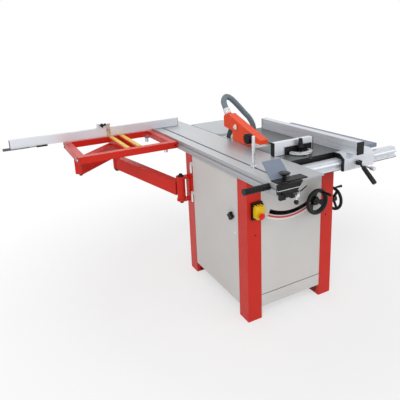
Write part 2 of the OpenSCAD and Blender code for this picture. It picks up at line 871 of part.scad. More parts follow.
module tube_y(x0, x1, y0, y1, z0, z1, t) {
  difference() {
    box(x0, x1, y0, y1, z0, z1);
    box(x0 + t, x1 - t, y0 - overrun, y1 + overrun, z0 + t, z1 - t);
  }
}

module outrigger_frame() {
  color("firebrick") {
    for (y = [out_y0, out_y1 - out_tube_w]) tube_x(out_x0, out_x1, y, y + out_tube_w, out_low_z,
        out_top_z, tube_wall);
    for (x = [out_x0, out_x1 - out_tube_w])
      tube_y(x, x + out_tube_w, out_y0 + out_tube_w, out_y1 - out_tube_w, out_low_z, out_top_z, tube_wall);
    for (s = beam_x_shares)
      tube_y(out_x0 + s * out_w, out_x0 + s * out_w + beam_w, out_y0 + out_tube_w, out_y1 - out_tube_w,
        out_low_z, out_top_z - overrun, tube_wall);
  }
}

strip_w = 26;
strip_h = 5;
module outrigger_strips() {
  color("gold") for (s = beam_x_shares)
    box(out_x0 + s * out_w + (beam_w - strip_w) / 2, out_x0 + s * out_w + (beam_w + strip_w) / 2,
      out_y0 + out_tube_w, out_y1 - out_tube_w, out_top_z - overrun, out_top_z - overrun + strip_h);
}

// Clamps that hook the outrigger into the carriage's side groove
clamp_w = 34;
clamp_r = 13;
clamp_l = 30;
module outrigger_clamps() {
  hook_h = groove_h - 2 * roll_clear;
  hook_z = table_h - car_t - 3 * groove_h / 2;
  color("gainsboro") for (y = [out_y0 + out_tube_w + roll_clear,
      out_y1 - out_tube_w - clamp_w - roll_clear]) {
    box(out_x1 - out_tube_w - clamp_w, out_x1 - out_tube_w, y, y + clamp_w, out_low_z - tube_wall,
        out_low_z + out_tube_h / 2);
    rod_z(clamp_r, out_low_z - clamp_l, out_low_z - tube_wall, out_x1 - out_tube_w - clamp_w / 2,
        y + clamp_w / 2);
    box(out_x1, car_x0 + groove_deep - roll_clear, y, y + clamp_w, hook_z - hook_h / 2,
        hook_z + hook_h / 2);
  }
}

// Crosscut fence with its pivot, extension and stop

fence_gap = 2;
fence_low_z = table_h + fence_gap;
fence_x1 = -117;
fence_x0 = fence_x1 - fence_l;
fence_in = 18;
fence_y0 = out_y1 - out_tube_w - fence_in;
fence_y1 = fence_y0 + fence_t;
fence_wall = 3;
pivot_in = 26;
pivot_x = fence_x1 - pivot_in;
pivot_back = 22;
pivot_y = fence_y1 + pivot_back;
pivot_r = 6;
pivot_knob_r = 18;
foot_plate_l = 90;
ext_t = 5;
module fence_profile() {
  groove = 8;
  difference() {
    rect(fence_y0, fence_y1, fence_low_z, fence_low_z + fence_h);
    rect(fence_y0 + fence_wall, fence_y1 - fence_wall, fence_low_z + fence_wall,
      fence_low_z + fence_h / 2 - fence_wall / 2);
    rect(fence_y0 + fence_wall, fence_y1 - fence_wall, fence_low_z + fence_h / 2 + fence_wall / 2,
      fence_low_z + fence_h - groove - fence_wall);
    rect((fence_y0 + fence_y1 - groove) / 2, (fence_y0 + fence_y1 + groove) / 2,
      fence_low_z + fence_h - groove, fence_low_z + fence_h + overrun);
  }
}

module crosscut_fence() {
  color("silver") {
    along_x(fence_x0, fence_x1) fence_profile();
    difference() {
      box(pivot_x - foot_plate_l / 2, fence_x1, fence_y1, pivot_y + pivot_knob_r, fence_low_z,
          fence_low_z + ext_t);
      rod_z(pivot_r + fit_clear, fence_low_z - overrun, fence_low_z + ext_t + overrun, pivot_x, pivot_y);
    }
  }
}

// Pivot stud in the carriage with its knob above the fence's foot
module fence_pivot_knob() {
  color("black") {
    rod_z(pivot_r, table_h, fence_low_z + ext_t + 2 * roll_clear, pivot_x, pivot_y);
    translate([pivot_x, pivot_y, fence_low_z + ext_t + roll_clear])
      mushroom(pivot_knob_r, pivot_knob_r, pivot_r * 3 / 2, pivot_r);
  }
}

// Flat extension under the fence's outer end, with its pull grip
ext_l = 150;
ext_out = 44;
ext_plate_w = 70;
clip_l = 64;
clip_h = 9;
module fence_extension() {
  low = fence_low_z - fence_gap - ext_t;
  color("dimgray") {
    box(fence_x0 - ext_out, fence_x0 - ext_out + ext_l, fence_y0 - fence_t / 2,
        fence_y0 - fence_t / 2 + ext_plate_w,
      low + ext_t, low + ext_t + fence_gap - roll_clear);
    box(fence_x0 + ext_l, fence_x0 + ext_l + clip_l, fence_y0 - clip_h, fence_y0 - roll_clear, low,
        low + clip_h);
    box(fence_x0 - ext_out + ext_l - overrun, fence_x0 + ext_l + clip_l, fence_y0 - clip_h, fence_y0,
      low + ext_t, low + ext_t + fence_gap - roll_clear);
  }
}

// Flip stop: slider on the fence's top and a flap in front of its face
stop_x = -640;
stop_l = 56;
stop_h = 30;
flap_w = 26;
flap_t = 6;
flap_h = 86;
flap_pin_r = 4;
flap_pin_rise = 24;
flap_pin_z = fence_low_z + fence_h + flap_pin_rise;
flap_off = 1;
flap_pin_y = fence_y0 - flap_t / 2 - flap_off;
module stop_carrier() {
  top = fence_low_z + fence_h + roll_clear;
  knob_r = 14;
  color("silver") {
    box(stop_x - stop_l, stop_x, fence_y0, fence_y1, top, top + stop_h);
    rod_x(flap_pin_r, stop_x - overrun, stop_x + flap_w + overrun, flap_pin_y, flap_pin_z);
    box(stop_x - flap_w / 2, stop_x, flap_pin_y - flap_pin_r, fence_y0, top + stop_h / 2, top + stop_h);
    translate([stop_x - stop_l / 2, fence_y0, top + stop_h * 2 / 3]) rotate([90, 0, 0])
      star_knob(knob_r, knob_r, flap_pin_r, knob_r / 2);
  }
}

module stop_flap() {
  color("gainsboro") difference() {
    union() {
      box(stop_x + roll_clear, stop_x + flap_w, flap_pin_y - flap_t / 2, flap_pin_y + flap_t / 2,
        flap_pin_z - flap_h + flap_pin_r * 2, flap_pin_z);
      rod_x(flap_pin_r * 2, stop_x + roll_clear, stop_x + flap_w, flap_pin_y, flap_pin_z);
    }
    rod_x(flap_pin_r + fit_clear, stop_x - overrun, stop_x + flap_w + overrun, flap_pin_y, flap_pin_z);
  }
}

// Support arm: hinge bracket on the rear left leg, rising lower link, level upper link

hinge_out = 49;
hinge_x = -half_w - hinge_out;
hinge_y = 324;
hinge_drop = 160;
hinge_span = 158;
hinge_z1 = out_low_z - hinge_drop;
hinge_z0 = hinge_z1 - hinge_span;
hinge_ear = 14;
hinge_pin = 12;
ear_r = 30;
elbow = [-581, 826];
out_end = [-895, 533];
lower_in = 32;
lower_rise = 98;
lower_z_hinge = hinge_z0 + lower_in;
lower_z_elbow = lower_z_hinge + lower_rise;
upper_gap = 6;
upper_z = lower_z_elbow + arm_h + upper_gap;
cap_r = 22;
cap_h = 10;
module arm_bracket() {
  color("firebrick") {
    difference() {
      union() for (z = [hinge_z0, hinge_z1 - hinge_ear]) {
        rod_z(ear_r, z, z + hinge_ear, hinge_x, hinge_y);
        box(hinge_x, -half_w, hinge_y - ear_r, half_d, z, z + hinge_ear);
      }
      rod_z(hinge_pin, hinge_z0 - overrun, hinge_z1 + overrun, hinge_x, hinge_y);
    }
    box(-half_w - hinge_ear / 2, -half_w, hinge_y - ear_r, half_d, hinge_z0, hinge_z1);
    rod_z(hinge_pin, hinge_z0, hinge_z1, hinge_x, hinge_y);
    for (end = [0, 1]) translate([hinge_x, hinge_y, end > 0 ? hinge_z1 : hinge_z0]) mirror([0, 0, 1 - end])
      cylinder(r1 = cap_r, r2 = hinge_pin, h = cap_h);
  }
}

lower_run = norm(elbow - [hinge_x, hinge_y]);
lower_turn = atan2(elbow[1] - hinge_y, elbow[0] - hinge_x);
upper_run = norm(out_end - elbow);
upper_turn = atan2(out_end[1] - elbow[1], out_end[0] - elbow[0]);
barrel_r = 26;

// Side outline of the rising link between two distances from its hinge, shrunk by its wall
module lower_side(from, to, in) {
  rise = (lower_z_elbow - lower_z_hinge) / lower_run;
  polygon([[from, lower_z_hinge + rise * from + in], [to, lower_z_hinge + rise * to + in],
    [to, lower_z_hinge + rise * to + arm_h - in], [from, lower_z_hinge + rise * from + arm_h - in]]);
}

module arm_lower() {
  in = barrel_r - overrun;
  color("firebrick") translate([hinge_x, hinge_y, 0]) rotate(lower_turn) {
    difference() {
      union() {
        along_y(-arm_w / 2, arm_w / 2) lower_side(in, lower_run - in, 0);
        rod_z(barrel_r, hinge_z0 + hinge_ear + roll_clear, hinge_z1 - hinge_ear - roll_clear, 0, 0);
        rod_z(barrel_r, lower_z_elbow - overrun, upper_z - roll_clear, lower_run, 0);
      }
      along_y(-arm_w / 2 + tube_wall, arm_w / 2 - tube_wall)
        lower_side(2 * barrel_r, lower_run - 2 * barrel_r, tube_wall);
      rod_z(hinge_pin + fit_clear, hinge_z0, hinge_z1, 0, 0);
    }
    rod_z(hinge_pin, lower_z_elbow - cap_h, upper_z + arm_h / 2, lower_run, 0);
    rod_z(cap_r, lower_z_elbow - cap_h, lower_z_elbow, lower_run, 0);
  }
}

pad_h = 3;
pad_r = 20;
module arm_upper() {
  top = out_low_z - pad_h - slide_gap;
  color("firebrick") translate([elbow[0], elbow[1], 0]) rotate(upper_turn) {
    difference() {
      union() {
        box(0, upper_run, -arm_w / 2, arm_w / 2, upper_z, top);
        rod_z(barrel_r, upper_z, top, 0, 0);
      }
      box(2 * barrel_r, upper_run + overrun, -arm_w / 2 + tube_wall, arm_w / 2 - tube_wall,
        upper_z + tube_wall, top - tube_wall);
      rod_z(hinge_pin + fit_clear, upper_z - overrun, upper_z + arm_h / 2 + roll_clear, 0, 0);
    }
    rod_z(pad_r, top - tube_wall, top + pad_h, upper_run - pad_r * 3 / 2, 0);
  }
}

// Rip fence on the front rail

rip_x0 = blade_x + rip_off;
rip_x1 = rip_x0 + rip_t;
rip_front = 118;
rip_y0 = table_y0 - rip_front;
rip_lift = 1;
rip_low_z = table_h + rip_lift;
rip_cap_t = 6;
rip_wall = 3;
module rip_profile() {
  top = rip_low_z + rip_h;
  groove = 10;
  difference() {
    rect(rip_x0, rip_x1, rip_low_z, top);
    rect(rip_x0 + rip_wall, rip_x1 - rip_wall, rip_low_z + rip_wall, rip_low_z + rip_h / 2 - groove);
    rect(rip_x0 + rip_wall, rip_x1 - rip_wall, rip_low_z + rip_h / 2 + groove, top - rip_wall);
    rect(rip_x0 - overrun, rip_x0 + groove / 2, rip_low_z + rip_h / 2 - groove / 4,
        rip_low_z + rip_h / 2 + groove / 4);
    rect(rip_x0 + groove, rip_x1 - groove, rip_low_z + rip_h / 2 - groove + rip_wall,
      rip_low_z + rip_h / 2 + groove - rip_wall);
  }
}

module rip_fence() {
  color("silver") {
    along_y(rip_y0 + rip_cap_t, rip_y0 + rip_l - rip_cap_t) rip_profile();
    for (y = [rip_y0, rip_y0 + rip_l - rip_cap_t])
      along_y(y, y + rip_cap_t) rect(rip_x0, rip_x1, rip_low_z, rip_low_z + rip_h);
  }
}

// Head: angle over the rail with a bevelled brow, a hook under the rail and a gasket at its left end
head_left = 42;
head_x0 = rip_x0 - head_left;
head_x1 = head_x0 + rip_head_l;
head_t = 12;
head_y0 = guide_y0 - head_t;
head_back = 5;
head_y1 = table_y0 - head_back;
hook_t = 6;
head_low_z = guide_top_z - guide_h - hook_t;
gasket = 8;
head_slope = 30;
head_bevel = 24;
lever_right = 3;
lever_pivot_x = rip_x1 + lever_right;
rip_pin_r = 5;
module rip_head() {
  gap = slide_gap;
  color("silver") along_x(head_x0, head_x1) {
    polygon([[head_y0, guide_top_z + gap], [head_y1, guide_top_z + gap], [head_y1, rip_low_z],
      [head_y0 + head_slope, rip_low_z], [head_y0, rip_low_z - head_bevel]]);
    rect(head_y0, guide_y0 - gap, head_low_z, rip_low_z - head_bevel);
    rect(head_y0, guide_y0 + guide_lip, head_low_z, guide_top_z - guide_h - gap);
  }
  color("black") {
    along_x(head_x0 - gasket, head_x0) {
      polygon([[head_y0 - panel_t, guide_top_z + gap], [head_y1, guide_top_z + gap], [head_y1, rip_low_z],
        [head_y0 + head_slope, rip_low_z], [head_y0 - panel_t, rip_low_z - head_bevel]]);
      rect(head_y0 - panel_t, guide_y0 - gap, head_low_z, rip_low_z - head_bevel);
    }
    for (x = [lever_pivot_x - rip_pin_r, lever_pivot_x + 3 * rip_pin_r])
      box(x - rip_pin_r / 2, x + rip_pin_r / 2, head_y0 - 4 * rip_pin_r, head_y0, rip_z - 2 * rip_pin_r,
          rip_z + 2 * rip_pin_r);
    rod_x(rip_pin_r, lever_pivot_x - rip_pin_r, lever_pivot_x + 3 * rip_pin_r, rip_lever_y, rip_z);
  }
}

rip_lever_drop = 54;
rip_z = table_h - rip_lever_drop;
rip_lever_out = 12;
rip_lever_y = head_y0 - rip_lever_out;
rip_lever_a = 40;
rip_lever_l = 126;
rip_lever_r = 8;
module rip_lever() {
  color("black") difference() {
    union() {
      rod_x(rip_pin_r * 3 / 2, lever_pivot_x - rip_pin_r / 2 + roll_clear,
          lever_pivot_x + 5 * rip_pin_r / 2 - roll_clear,
        rip_lever_y, rip_z);
      translate([lever_pivot_x + rip_pin_r, rip_lever_y, rip_z]) rotate([90 + rip_lever_a, 0, 0]) {
        cylinder(r1 = rip_pin_r, r2 = rip_lever_r, h = rip_lever_l);
        translate([0, 0, rip_lever_l]) sphere(r = rip_lever_r);
      }
    }
    rod_x(rip_pin_r + fit_clear, lever_pivot_x - 2 * rip_pin_r, lever_pivot_x + 4 * rip_pin_r,
        rip_lever_y, rip_z);
  }
}

fine_right = 46;
fine_x = lever_pivot_x + fine_right;
fine_drop = 80;
fine_z = table_h - fine_drop;
fine_r = 11;
fine_l = 26;
fine_stem = 52;
flutes = 12;
flute_r = 1.5;
module fine_knob() {
  color("silver") translate([fine_x, head_y0 - roll_clear, fine_z]) rotate([90, 0, 0]) {
    cylinder(r = fine_r / 2, h = fine_stem + overrun);
    translate([0, 0, fine_stem]) difference() {
      cylinder(r = fine_r, h = fine_l);
      for (i = [0 : flutes - 1]) rotate(i * 360 / flutes) translate([fine_r, 0, -overrun])
        cylinder(r = flute_r, h = fine_l + 2 * overrun);
    }
  }
}

// Mitre gauge

mitre_y = -262;
bar_l = 280;
bar_h = 9;
bar_clear = 0.1;
mitre_pin_r = 5;
module mitre_bar() {
  color("gray") {
    box(mitre_x - mitre_slot_w / 2 + bar_clear, mitre_x + mitre_slot_w / 2 - bar_clear, mitre_y - bar_l / 4,
      mitre_y + bar_l * 3 / 4, table_h - bar_h, table_h);
    rod_z(mitre_pin_r, table_h - bar_h / 2, table_h + mitre_base_h, mitre_x, mitre_y);
  }
}

mitre_base_h = 14;
mitre_lift = 0.5;
mitre_wall_half = 88;
mitre_fence_back = 8;
mitre_fence_y0 = mitre_y + mitre_fence_back;
mitre_fence_t = 26;
mitre_fence_lift = 2.5;
mitre_left = 152;
mitre_knob_r = 16;
mitre_knob_fwd = 12;
mitre_knob_rise = 24;
mitre_knob_z = table_h + mitre_knob_rise;
mitre_knob_h = 58;
module mitre_head() {
  z0 = table_h + mitre_lift;
  neck = mitre_knob_z - z0 - mitre_base_h;
  color("black") {
    difference() {
      union() {
        intersection() {
          rod_z(mitre_r, z0, z0 + mitre_base_h, mitre_x, mitre_y);
          box(mitre_x - mitre_r, mitre_x + mitre_r, mitre_y - mitre_r, mitre_fence_y0, z0,
              z0 + mitre_base_h);
        }
        box(mitre_x - mitre_wall_half, mitre_x + mitre_wall_half, mitre_fence_y0 - mitre_base_h / 2,
          mitre_fence_y0, z0, z0 + 3 * mitre_base_h);
      }
      rod_z(mitre_pin_r + fit_clear, z0 - overrun, table_h + mitre_base_h + roll_clear, mitre_x, mitre_y);
    }
    translate([mitre_x, mitre_y - mitre_knob_fwd, z0 + mitre_base_h]) rotate_extrude() polygon([[0, 0],
      [mitre_knob_r / 2, 0], [mitre_knob_r / 2, neck], [mitre_knob_r, neck + mitre_knob_r / 2],
      [mitre_knob_r * lobe_seat_share, mitre_knob_h],
      [mitre_knob_r * lobe_seat_share, mitre_knob_h + mitre_knob_r / 2],
      [0, mitre_knob_h + mitre_knob_r * lobe_seat_share]]);
  }
}

module mitre_fence() {
  z0 = table_h + mitre_fence_lift;
  y0 = mitre_fence_y0;
  y1 = y0 + mitre_fence_t;
  x0 = mitre_x - mitre_left;
  color("silver") {
    along_x(x0, x0 + mitre_fence_l) difference() {
      rect(y0, y1, z0, z0 + mitre_fence_h);
      rect(y0 + rip_wall, y1 - rip_wall, z0 + rip_wall, z0 + mitre_fence_h / 2 - rip_wall);
      rect(y0 + rip_wall, y1 - rip_wall, z0 + mitre_fence_h / 2 + rip_wall, z0 + mitre_fence_h - rip_wall);
    }
  }
  color("black") for (x = [x0 - rip_cap_t, x0 + mitre_fence_l]) box(x, x + rip_cap_t, y0, y1, z0,
      z0 + mitre_fence_h);
}

// Blade unit: trunnions under the table, tilting frame, arbor unit, blade

trun_t = 10;
trun_y0 = -215;
trun_y1 = 318;
trun_half = 104;
trun_drop = 118;
trun_r = 92;
trun_slot_w = 16;
trun_from = -40;
trun_to = 55;
trun_top_w = 75;
guide_pin_r = trun_slot_w / 2 - rot_clear;
module trunnions() {
  color("dimgray") for (y = [trun_y0, trun_y1 - trun_t]) difference() {
    along_y(y, y + trun_t) {
      intersection() {
        translate([blade_x, table_h]) circle(trun_drop);
        rect(blade_x - trun_half, blade_x + trun_half, table_h - trun_drop, table_low_z);
      }
      rect(table_x0 + rim_t, table_x0 + rim_t + trun_top_w, table_low_z - overrun, table_h - table_t);
    }
    tilt_arc(trun_r, trun_slot_w, trun_from, trun_to, y - overrun, y + trun_t + overrun);
  }
}

// Tilting frame: side plate with a window, two end cheeks with guide pins, guide rods
frame_x0b = 20;
frame_plate_t = 8;
frame_drop = 265;
frame_z0 = table_h - frame_drop;
frame_gap = 4;
frame_z1 = table_low_z - frame_gap;
cheek_t = 8;
cheek_gap = 1;
rod_r = 8;
rod_span = 85;
rod_ys = [blade_y - rod_span, blade_y + rod_span];
rod_off = 14;
rod_x0 = frame_x0b + frame_plate_t + rod_off;
lug_h = 14;
lug_edge = 3;
boss_wall = 6;
window = 34;
window_deep = 125;
cheek_in = 40;
cheek_out = 100;
cheek_drop = 62;
cheek_crown = 48;
pin_angles = [10, 50];
height_x = blade_x + height_r * sin(height_a);
height_z = table_h - height_r * cos(height_a);
module tilt_frame() {
  y0 = trun_y0 + trun_t + cheek_gap;
  y1 = trun_y1 - trun_t - cheek_gap;
  x1 = frame_x0b + frame_plate_t;
  boss_r = shaft_r + boss_wall;
  color("slategray") {
    difference() {
      box(frame_x0b, x1, y0, y1, frame_z0, frame_z1);
      box(frame_x0b - overrun, x1 + overrun, blade_y - window, blade_y + window, arbor_z - window_deep,
          frame_z1 + overrun);
    }
    difference() {
      union() {
        along_y(y0, y0 + cheek_t) polygon([[blade_x, table_h - cheek_drop], [blade_x + cheek_in,
            table_h - cheek_crown],
          [blade_x + cheek_out, table_h - cheek_drop], [height_x + boss_r, height_z], [height_x,
              height_z - boss_r],
          [frame_x0b, frame_z0], [blade_x - boss_r, table_h - cheek_out]]);
        rod_y(boss_r, y0, y0 + 4 * cheek_t, height_x, height_z);
      }
      rod_y(shaft_r + fit_clear, y0 - overrun, y0 + 4 * cheek_t + overrun, height_x, height_z);
    }
    along_y(y1 - cheek_t, y1) polygon([[blade_x, table_h - cheek_drop], [blade_x + cheek_in,
        table_h - cheek_crown],
      [blade_x + cheek_out, table_h - cheek_drop], [x1, frame_z0], [frame_x0b, frame_z0],
      [blade_x - boss_r, table_h - cheek_out]]);
    for (y = [y0 - trun_t - cheek_gap, y1]) for (a = pin_angles)
      rotate_tilt(-a) rod_y(guide_pin_r, y - overrun, y + trun_t + cheek_gap + overrun, blade_x,
          table_h - trun_r);
    for (y = rod_ys) {
      for (z = [frame_z0, frame_z1 - lug_h])
        box(x1, rod_x0 + rod_r + lug_edge, y - rod_r - cheek_t, y + rod_r + cheek_t, z, z + lug_h);
      rod_z(rod_r, frame_z0, frame_z1, rod_x0, y);
    }
    box(blade_x - knife_t / 2 - frame_plate_t, frame_x0b, knife_y0, knife_y0 + 2 * knife_foot,
        knife_z0 - knife_foot, knife_z0);
  }
}

module rotate_tilt(a) {
  translate([blade_x, 0, table_h]) rotate([0, a, 0]) translate([-blade_x, 0, -table_h]) children();
}

// Riving knife: strip of a ring round the blade, standing on the frame's foot
knife_t = 2.5;
knife_in = 6;
knife_w = 40;
knife_from = 0;
knife_to = 94;
knife_foot = 16;
knife_y0 = blade_y + blade_d / 2 + knife_in;
knife_deep = 30;
knife_z0 = arbor_z - knife_deep;
module riving_knife() {
  r = blade_d / 2 + knife_in;
  color("black") difference() {
    union() {
      translate([blade_x - knife_t / 2, blade_y, arbor_z]) rotate([90, 0, 90]) rotate(knife_from)
        rotate_extrude(angle = knife_to - knife_from) translate([r, 0]) square([knife_w, knife_t]);
      box(blade_x - knife_t / 2, blade_x + knife_t / 2, knife_y0, knife_y0 + knife_w, knife_z0, arbor_z);
    }
    rod_x(guard_bolt_r + fit_clear, guard_x0, guard_x1, guard_bolt_y, guard_bolt_z);
  }
}

// Blade guard: hood with a low left wall and a round nose, flap, clamp knob and hose stub

guard_left = 26;
guard_x0 = blade_x - guard_left;
guard_right = 24;
guard_x1 = blade_x + guard_right;
guard_wall = 3;
guard_low = 3;
guard_right_low = 30;
hood_rear_y = 275;
hood_rise = 158;
hood_top_z = table_h + hood_rise;
hood_crown_y = 222;
hood_heel_h = 84;
hood_back_h = 62;
plate_rear_y = 176;
nose_y = -18;
nose_rise = 52;
nose_z = table_h + nose_rise;
nose_r = 30.5;
stub_y = 252;
stub_r = 17;
stub_l = 41;
stub_lean = 40;
stub_in = 23;
stub_z = hood_top_z - stub_in;
guard_bolt_back = 8;
guard_bolt_y = blade_y + guard_bolt_back;
guard_bolt_rise = 141;
guard_bolt_z = arbor_z + guard_bolt_rise;
guard_bolt_r = 6;
guard_pin_r = 5;

// Hood's outline from the side, drawn in Y and Z, shrunk by its wall except below
module hood_outline(in) {
  polygon([[hood_rear_y - in, hood_top_z - hood_heel_h], [hood_rear_y - in,
      hood_top_z - hood_heel_h + hood_back_h],
    [hood_rear_y - hood_back_h / 4 - in / 2, hood_top_z - hood_back_h / 8 - in], [hood_crown_y,
        hood_top_z - in],
    [nose_y, nose_z + nose_r - in], [nose_y, table_h + guard_low], [plate_rear_y, table_h + guard_low],
    [plate_rear_y, hood_top_z - hood_heel_h - guard_wall * 4]]);
  translate([nose_y, nose_z]) circle(nose_r - in);
}

module guard_hood() {
  color("orangered") difference() {
    union() {
      difference() {
        along_x(guard_x0, guard_x1) hood_outline(0);
        along_x(guard_x0 + guard_wall, guard_x1 - guard_wall) hood_outline(guard_wall);
        box(guard_x0 + guard_wall, guard_x1 + overrun, nose_y - nose_r - overrun, hood_rear_y + overrun,
          table_h, table_h + guard_right_low);
        box(guard_x0 + guard_wall, guard_x1 - guard_wall, nose_y - nose_r / 2, hood_rear_y - guard_wall,
          table_h, hood_top_z - hood_heel_h);
      }
      translate([blade_x, stub_y, stub_z]) rotate([-stub_lean, 0, 0]) cylinder(r = stub_r, h = stub_l);
      rod_x(guard_pin_r * 2, guard_x0 + guard_wall / 2, guard_x1 - guard_wall / 2, nose_y, nose_z);
      rod_x(guard_bolt_r, guard_x0, guard_x1, guard_bolt_y, guard_bolt_z);
    }
    translate([blade_x, stub_y, stub_z]) rotate([-stub_lean, 0, 0]) translate([0, 0, -stub_r])
      cylinder(r = stub_r - guard_wall, h = 2 * stub_r + stub_l);
    rod_x(guard_pin_r + fit_clear, guard_x0 - overrun, guard_x1 + overrun, nose_y, nose_z);
  }
}

// Clamp knob with the flap's pin
guard_knob_r = 29;
guard_knob_l = 28;
knob_flutes = 10;
flap_side = 3;
module guard_knob() {
  flute = guard_knob_r / 6;
  face_x = guard_x0 - flap_side - roll_clear;
  color("black") {
    rod_x(guard_pin_r, face_x - overrun, guard_x1 + guard_wall + flap_side, nose_y, nose_z);
    difference() {
      rod_x(guard_knob_r, face_x - guard_knob_l, face_x, nose_y, nose_z);
      for (i = [0 : knob_flutes - 1]) translate([0, nose_y, nose_z]) rotate([i * 360 / knob_flutes, 0, 0])
        rod_x(flute, face_x - guard_knob_l - overrun, face_x - guard_knob_l / 2, guard_knob_r, 0);
    }
  }
}

// Flap that closes the hood's nose and lifts over the work
flap_nose_y = -110;
flap_rear_y = -40;
flap_top_h = 56;
flap_rear_h = 76;
flap_low_h = 32;
flap_ear_r = 16;
flap_ear_l = 26;
flap_gap = 0.8;
module flap_outline(in) {
  difference() {
    polygon([[flap_rear_y, table_h + flap_rear_h - in], [flap_nose_y + in, table_h + flap_top_h - in],
      [flap_nose_y + in, table_h + flap_low_h - in], [flap_rear_y, table_h + flap_low_h - in]]);
    translate([nose_y, nose_z]) circle(nose_r + flap_gap + in);
  }
}

module guard_flap() {
  ear_y0 = nose_y - nose_r - flap_ear_l;
  color("orangered") difference() {
    union() {
      difference() {
        along_x(guard_x0, guard_x1) flap_outline(0);
        along_x(guard_x0 + guard_wall, guard_x1 - guard_wall) flap_outline(guard_wall);
      }
      for (x = [guard_x0 - flap_side, guard_x1 + roll_clear]) {
        rod_x(flap_ear_r, x, x + flap_side - roll_clear, nose_y, nose_z);
        box(x, x + flap_side - roll_clear, ear_y0, nose_y, nose_z - flap_ear_r, nose_z + flap_ear_r / 2);
      }
      for (x = [guard_x0 - flap_side, guard_x1 - overrun])
        box(x, x + flap_side + overrun, ear_y0, nose_y - nose_r - overrun, nose_z - flap_ear_r,
            nose_z + flap_ear_r / 2);
    }
    rod_x(guard_pin_r + fit_clear, guard_x0 - 2 * flap_side, guard_x1 + 2 * flap_side, nose_y, nose_z);
  }
}

// Arbor unit: sliding plate with the arbor's housing and the motor
house_r = 28;
house_off = 12;
house_x0 = blade_x + house_off;
unit_gap = 4;
unit_x0 = rod_x0 + rod_r + unit_gap;
unit_t = 8;
unit_half = 108;
shaft_ar = 10;
pulley_off = 16;
pulley_x = unit_x0 + unit_t + pulley_off;
pulley_w = 18;
pulley_r = 26;
motor_off = 10;
motor_x0 = pulley_x + pulley_w + motor_off;
motor_l = 150;
motor_r = 70;
motor_deep = 152;
fin_n = 12;
fin_h = 6;
fin_t = 4;
bush_h = 60;
bush_half = 18;
bush_deep = 110;
bush_wall = 5;
house_end = 10;
motor_z = arbor_z - motor_deep;
module motor_unit() {
  house_x1 = unit_x0 + unit_t + house_end;
  bush_z = arbor_z - bush_deep;
  color("steelblue") difference() {
    union() {
      rod_x(house_r, house_x0, house_x1, blade_y, arbor_z);
      box(unit_x0, unit_x0 + unit_t, blade_y - unit_half, blade_y + unit_half, motor_z - motor_r / 2,
          arbor_z - house_r / 2);
      for (y = rod_ys) box(rod_x0 - rod_r - bush_wall, unit_x0 + overrun, y - bush_half, y + bush_half,
          bush_z, bush_z + bush_h);
      rod_x(motor_r, motor_x0, motor_x0 + motor_l, blade_y, motor_z);
      for (i = [0 : fin_n - 1]) translate([0, blade_y, motor_z]) rotate([i * 360 / fin_n, 0, 0])
        box(motor_x0 + fin_t * 2, motor_x0 + motor_l - fin_t * 6, motor_r - fin_h, motor_r + fin_h,
            -fin_t / 2, fin_t / 2);
      for (side = [-1, 1])
        box(unit_x0, motor_x0 + motor_l / 4, blade_y + side * (motor_r - fin_h) - fin_h,
            blade_y + side * (motor_r - fin_h) + fin_h,
          motor_z - motor_r / 3, motor_z + motor_r / 3);
    }
    rod_x(shaft_ar + fit_clear, house_x0 - overrun, house_x1 + overrun, blade_y, arbor_z);
    for (y = rod_ys) rod_z(rod_r + fit_clear, bush_z - overrun, bush_z + bush_h + overrun, rod_x0, y);
  }
  color("black") belt();
}

belt_t = 4;
belt_gap = 0.4;
module belt() {
  r = pulley_r + belt_gap;
  difference() {
    union() {
      for (z = [motor_z, arbor_z]) rod_x(r + belt_t, pulley_x, pulley_x + pulley_w, blade_y, z);
      box(pulley_x, pulley_x + pulley_w, blade_y - r - belt_t, blade_y + r + belt_t, motor_z, arbor_z);
    }
    rod_x(r, pulley_x - overrun, pulley_x + pulley_w + overrun, blade_y, arbor_z);
    box(pulley_x - overrun, pulley_x + pulley_w + overrun, blade_y - r, blade_y + r,
        motor_z + shaft_ar * 2, arbor_z);
  }
  rod_x(shaft_ar, pulley_x, motor_x0 + overrun, blade_y, motor_z);
}

// Saw blade with flanges, nut, shaft and pulley
gullet = 9;
expand_l = 28;
expand_w = 2;
flange_r = 28;
flange_t = 5;
arbor_nut_r = 15;
arbor_nut_t = 11;
module saw_blade() {
  r = blade_d / 2;
  color("lightgray") {
    translate([blade_x, blade_y, arbor_z]) rotate([90, 0, 90]) difference() {
      union() {
        translate([0, 0, -blade_t / 2]) cylinder(r = r - gullet, h = blade_t);
        for (i = [0 : blade_teeth - 1]) rotate(i * 360 / blade_teeth) translate([0, 0, -blade_t / 2])
          linear_extrude(blade_t) polygon([[r - gullet * 2, -gullet], [r - gullet * 2, gullet],
              [r - gullet, gullet],
            [r, kerf / 2], [r, -kerf / 2], [r - gullet, -kerf / 2]]);
        for (i = [0 : blade_teeth - 1]) rotate(i * 360 / blade_teeth)
          translate([r - gullet * 2 / 3, -kerf / 2, -kerf / 2]) cube([gullet * 2 / 3, kerf, kerf]);
      }
      for (i = [0 : 3]) rotate(45 + i * 90) translate([r - gullet - expand_l, -expand_w / 2, -kerf])
        cube([expand_l + gullet, expand_w, 2 * kerf]);
    }
    rod_x(flange_r, blade_x - flange_t, blade_x + flange_t, blade_y, arbor_z);
    rod_x(shaft_ar, blade_x - flange_t - arbor_nut_t, pulley_x + pulley_w, blade_y, arbor_z);
    translate([blade_x - flange_t - arbor_nut_t + overrun, blade_y, arbor_z]) rotate([0, 90, 0])
      cylinder(r = arbor_nut_r, h = arbor_nut_t, $fn = 6);
    rod_x(pulley_r, pulley_x, pulley_x + pulley_w, blade_y, arbor_z);
  }
}

// Handwheels

rim_r = 9;
hub_r = 20;
hub_l = 26;
handle_r = 8;
handle_l = 62;
web_t = 6;
dish = 16;
windows = 3;
window_a = 80;
window_in = 5;

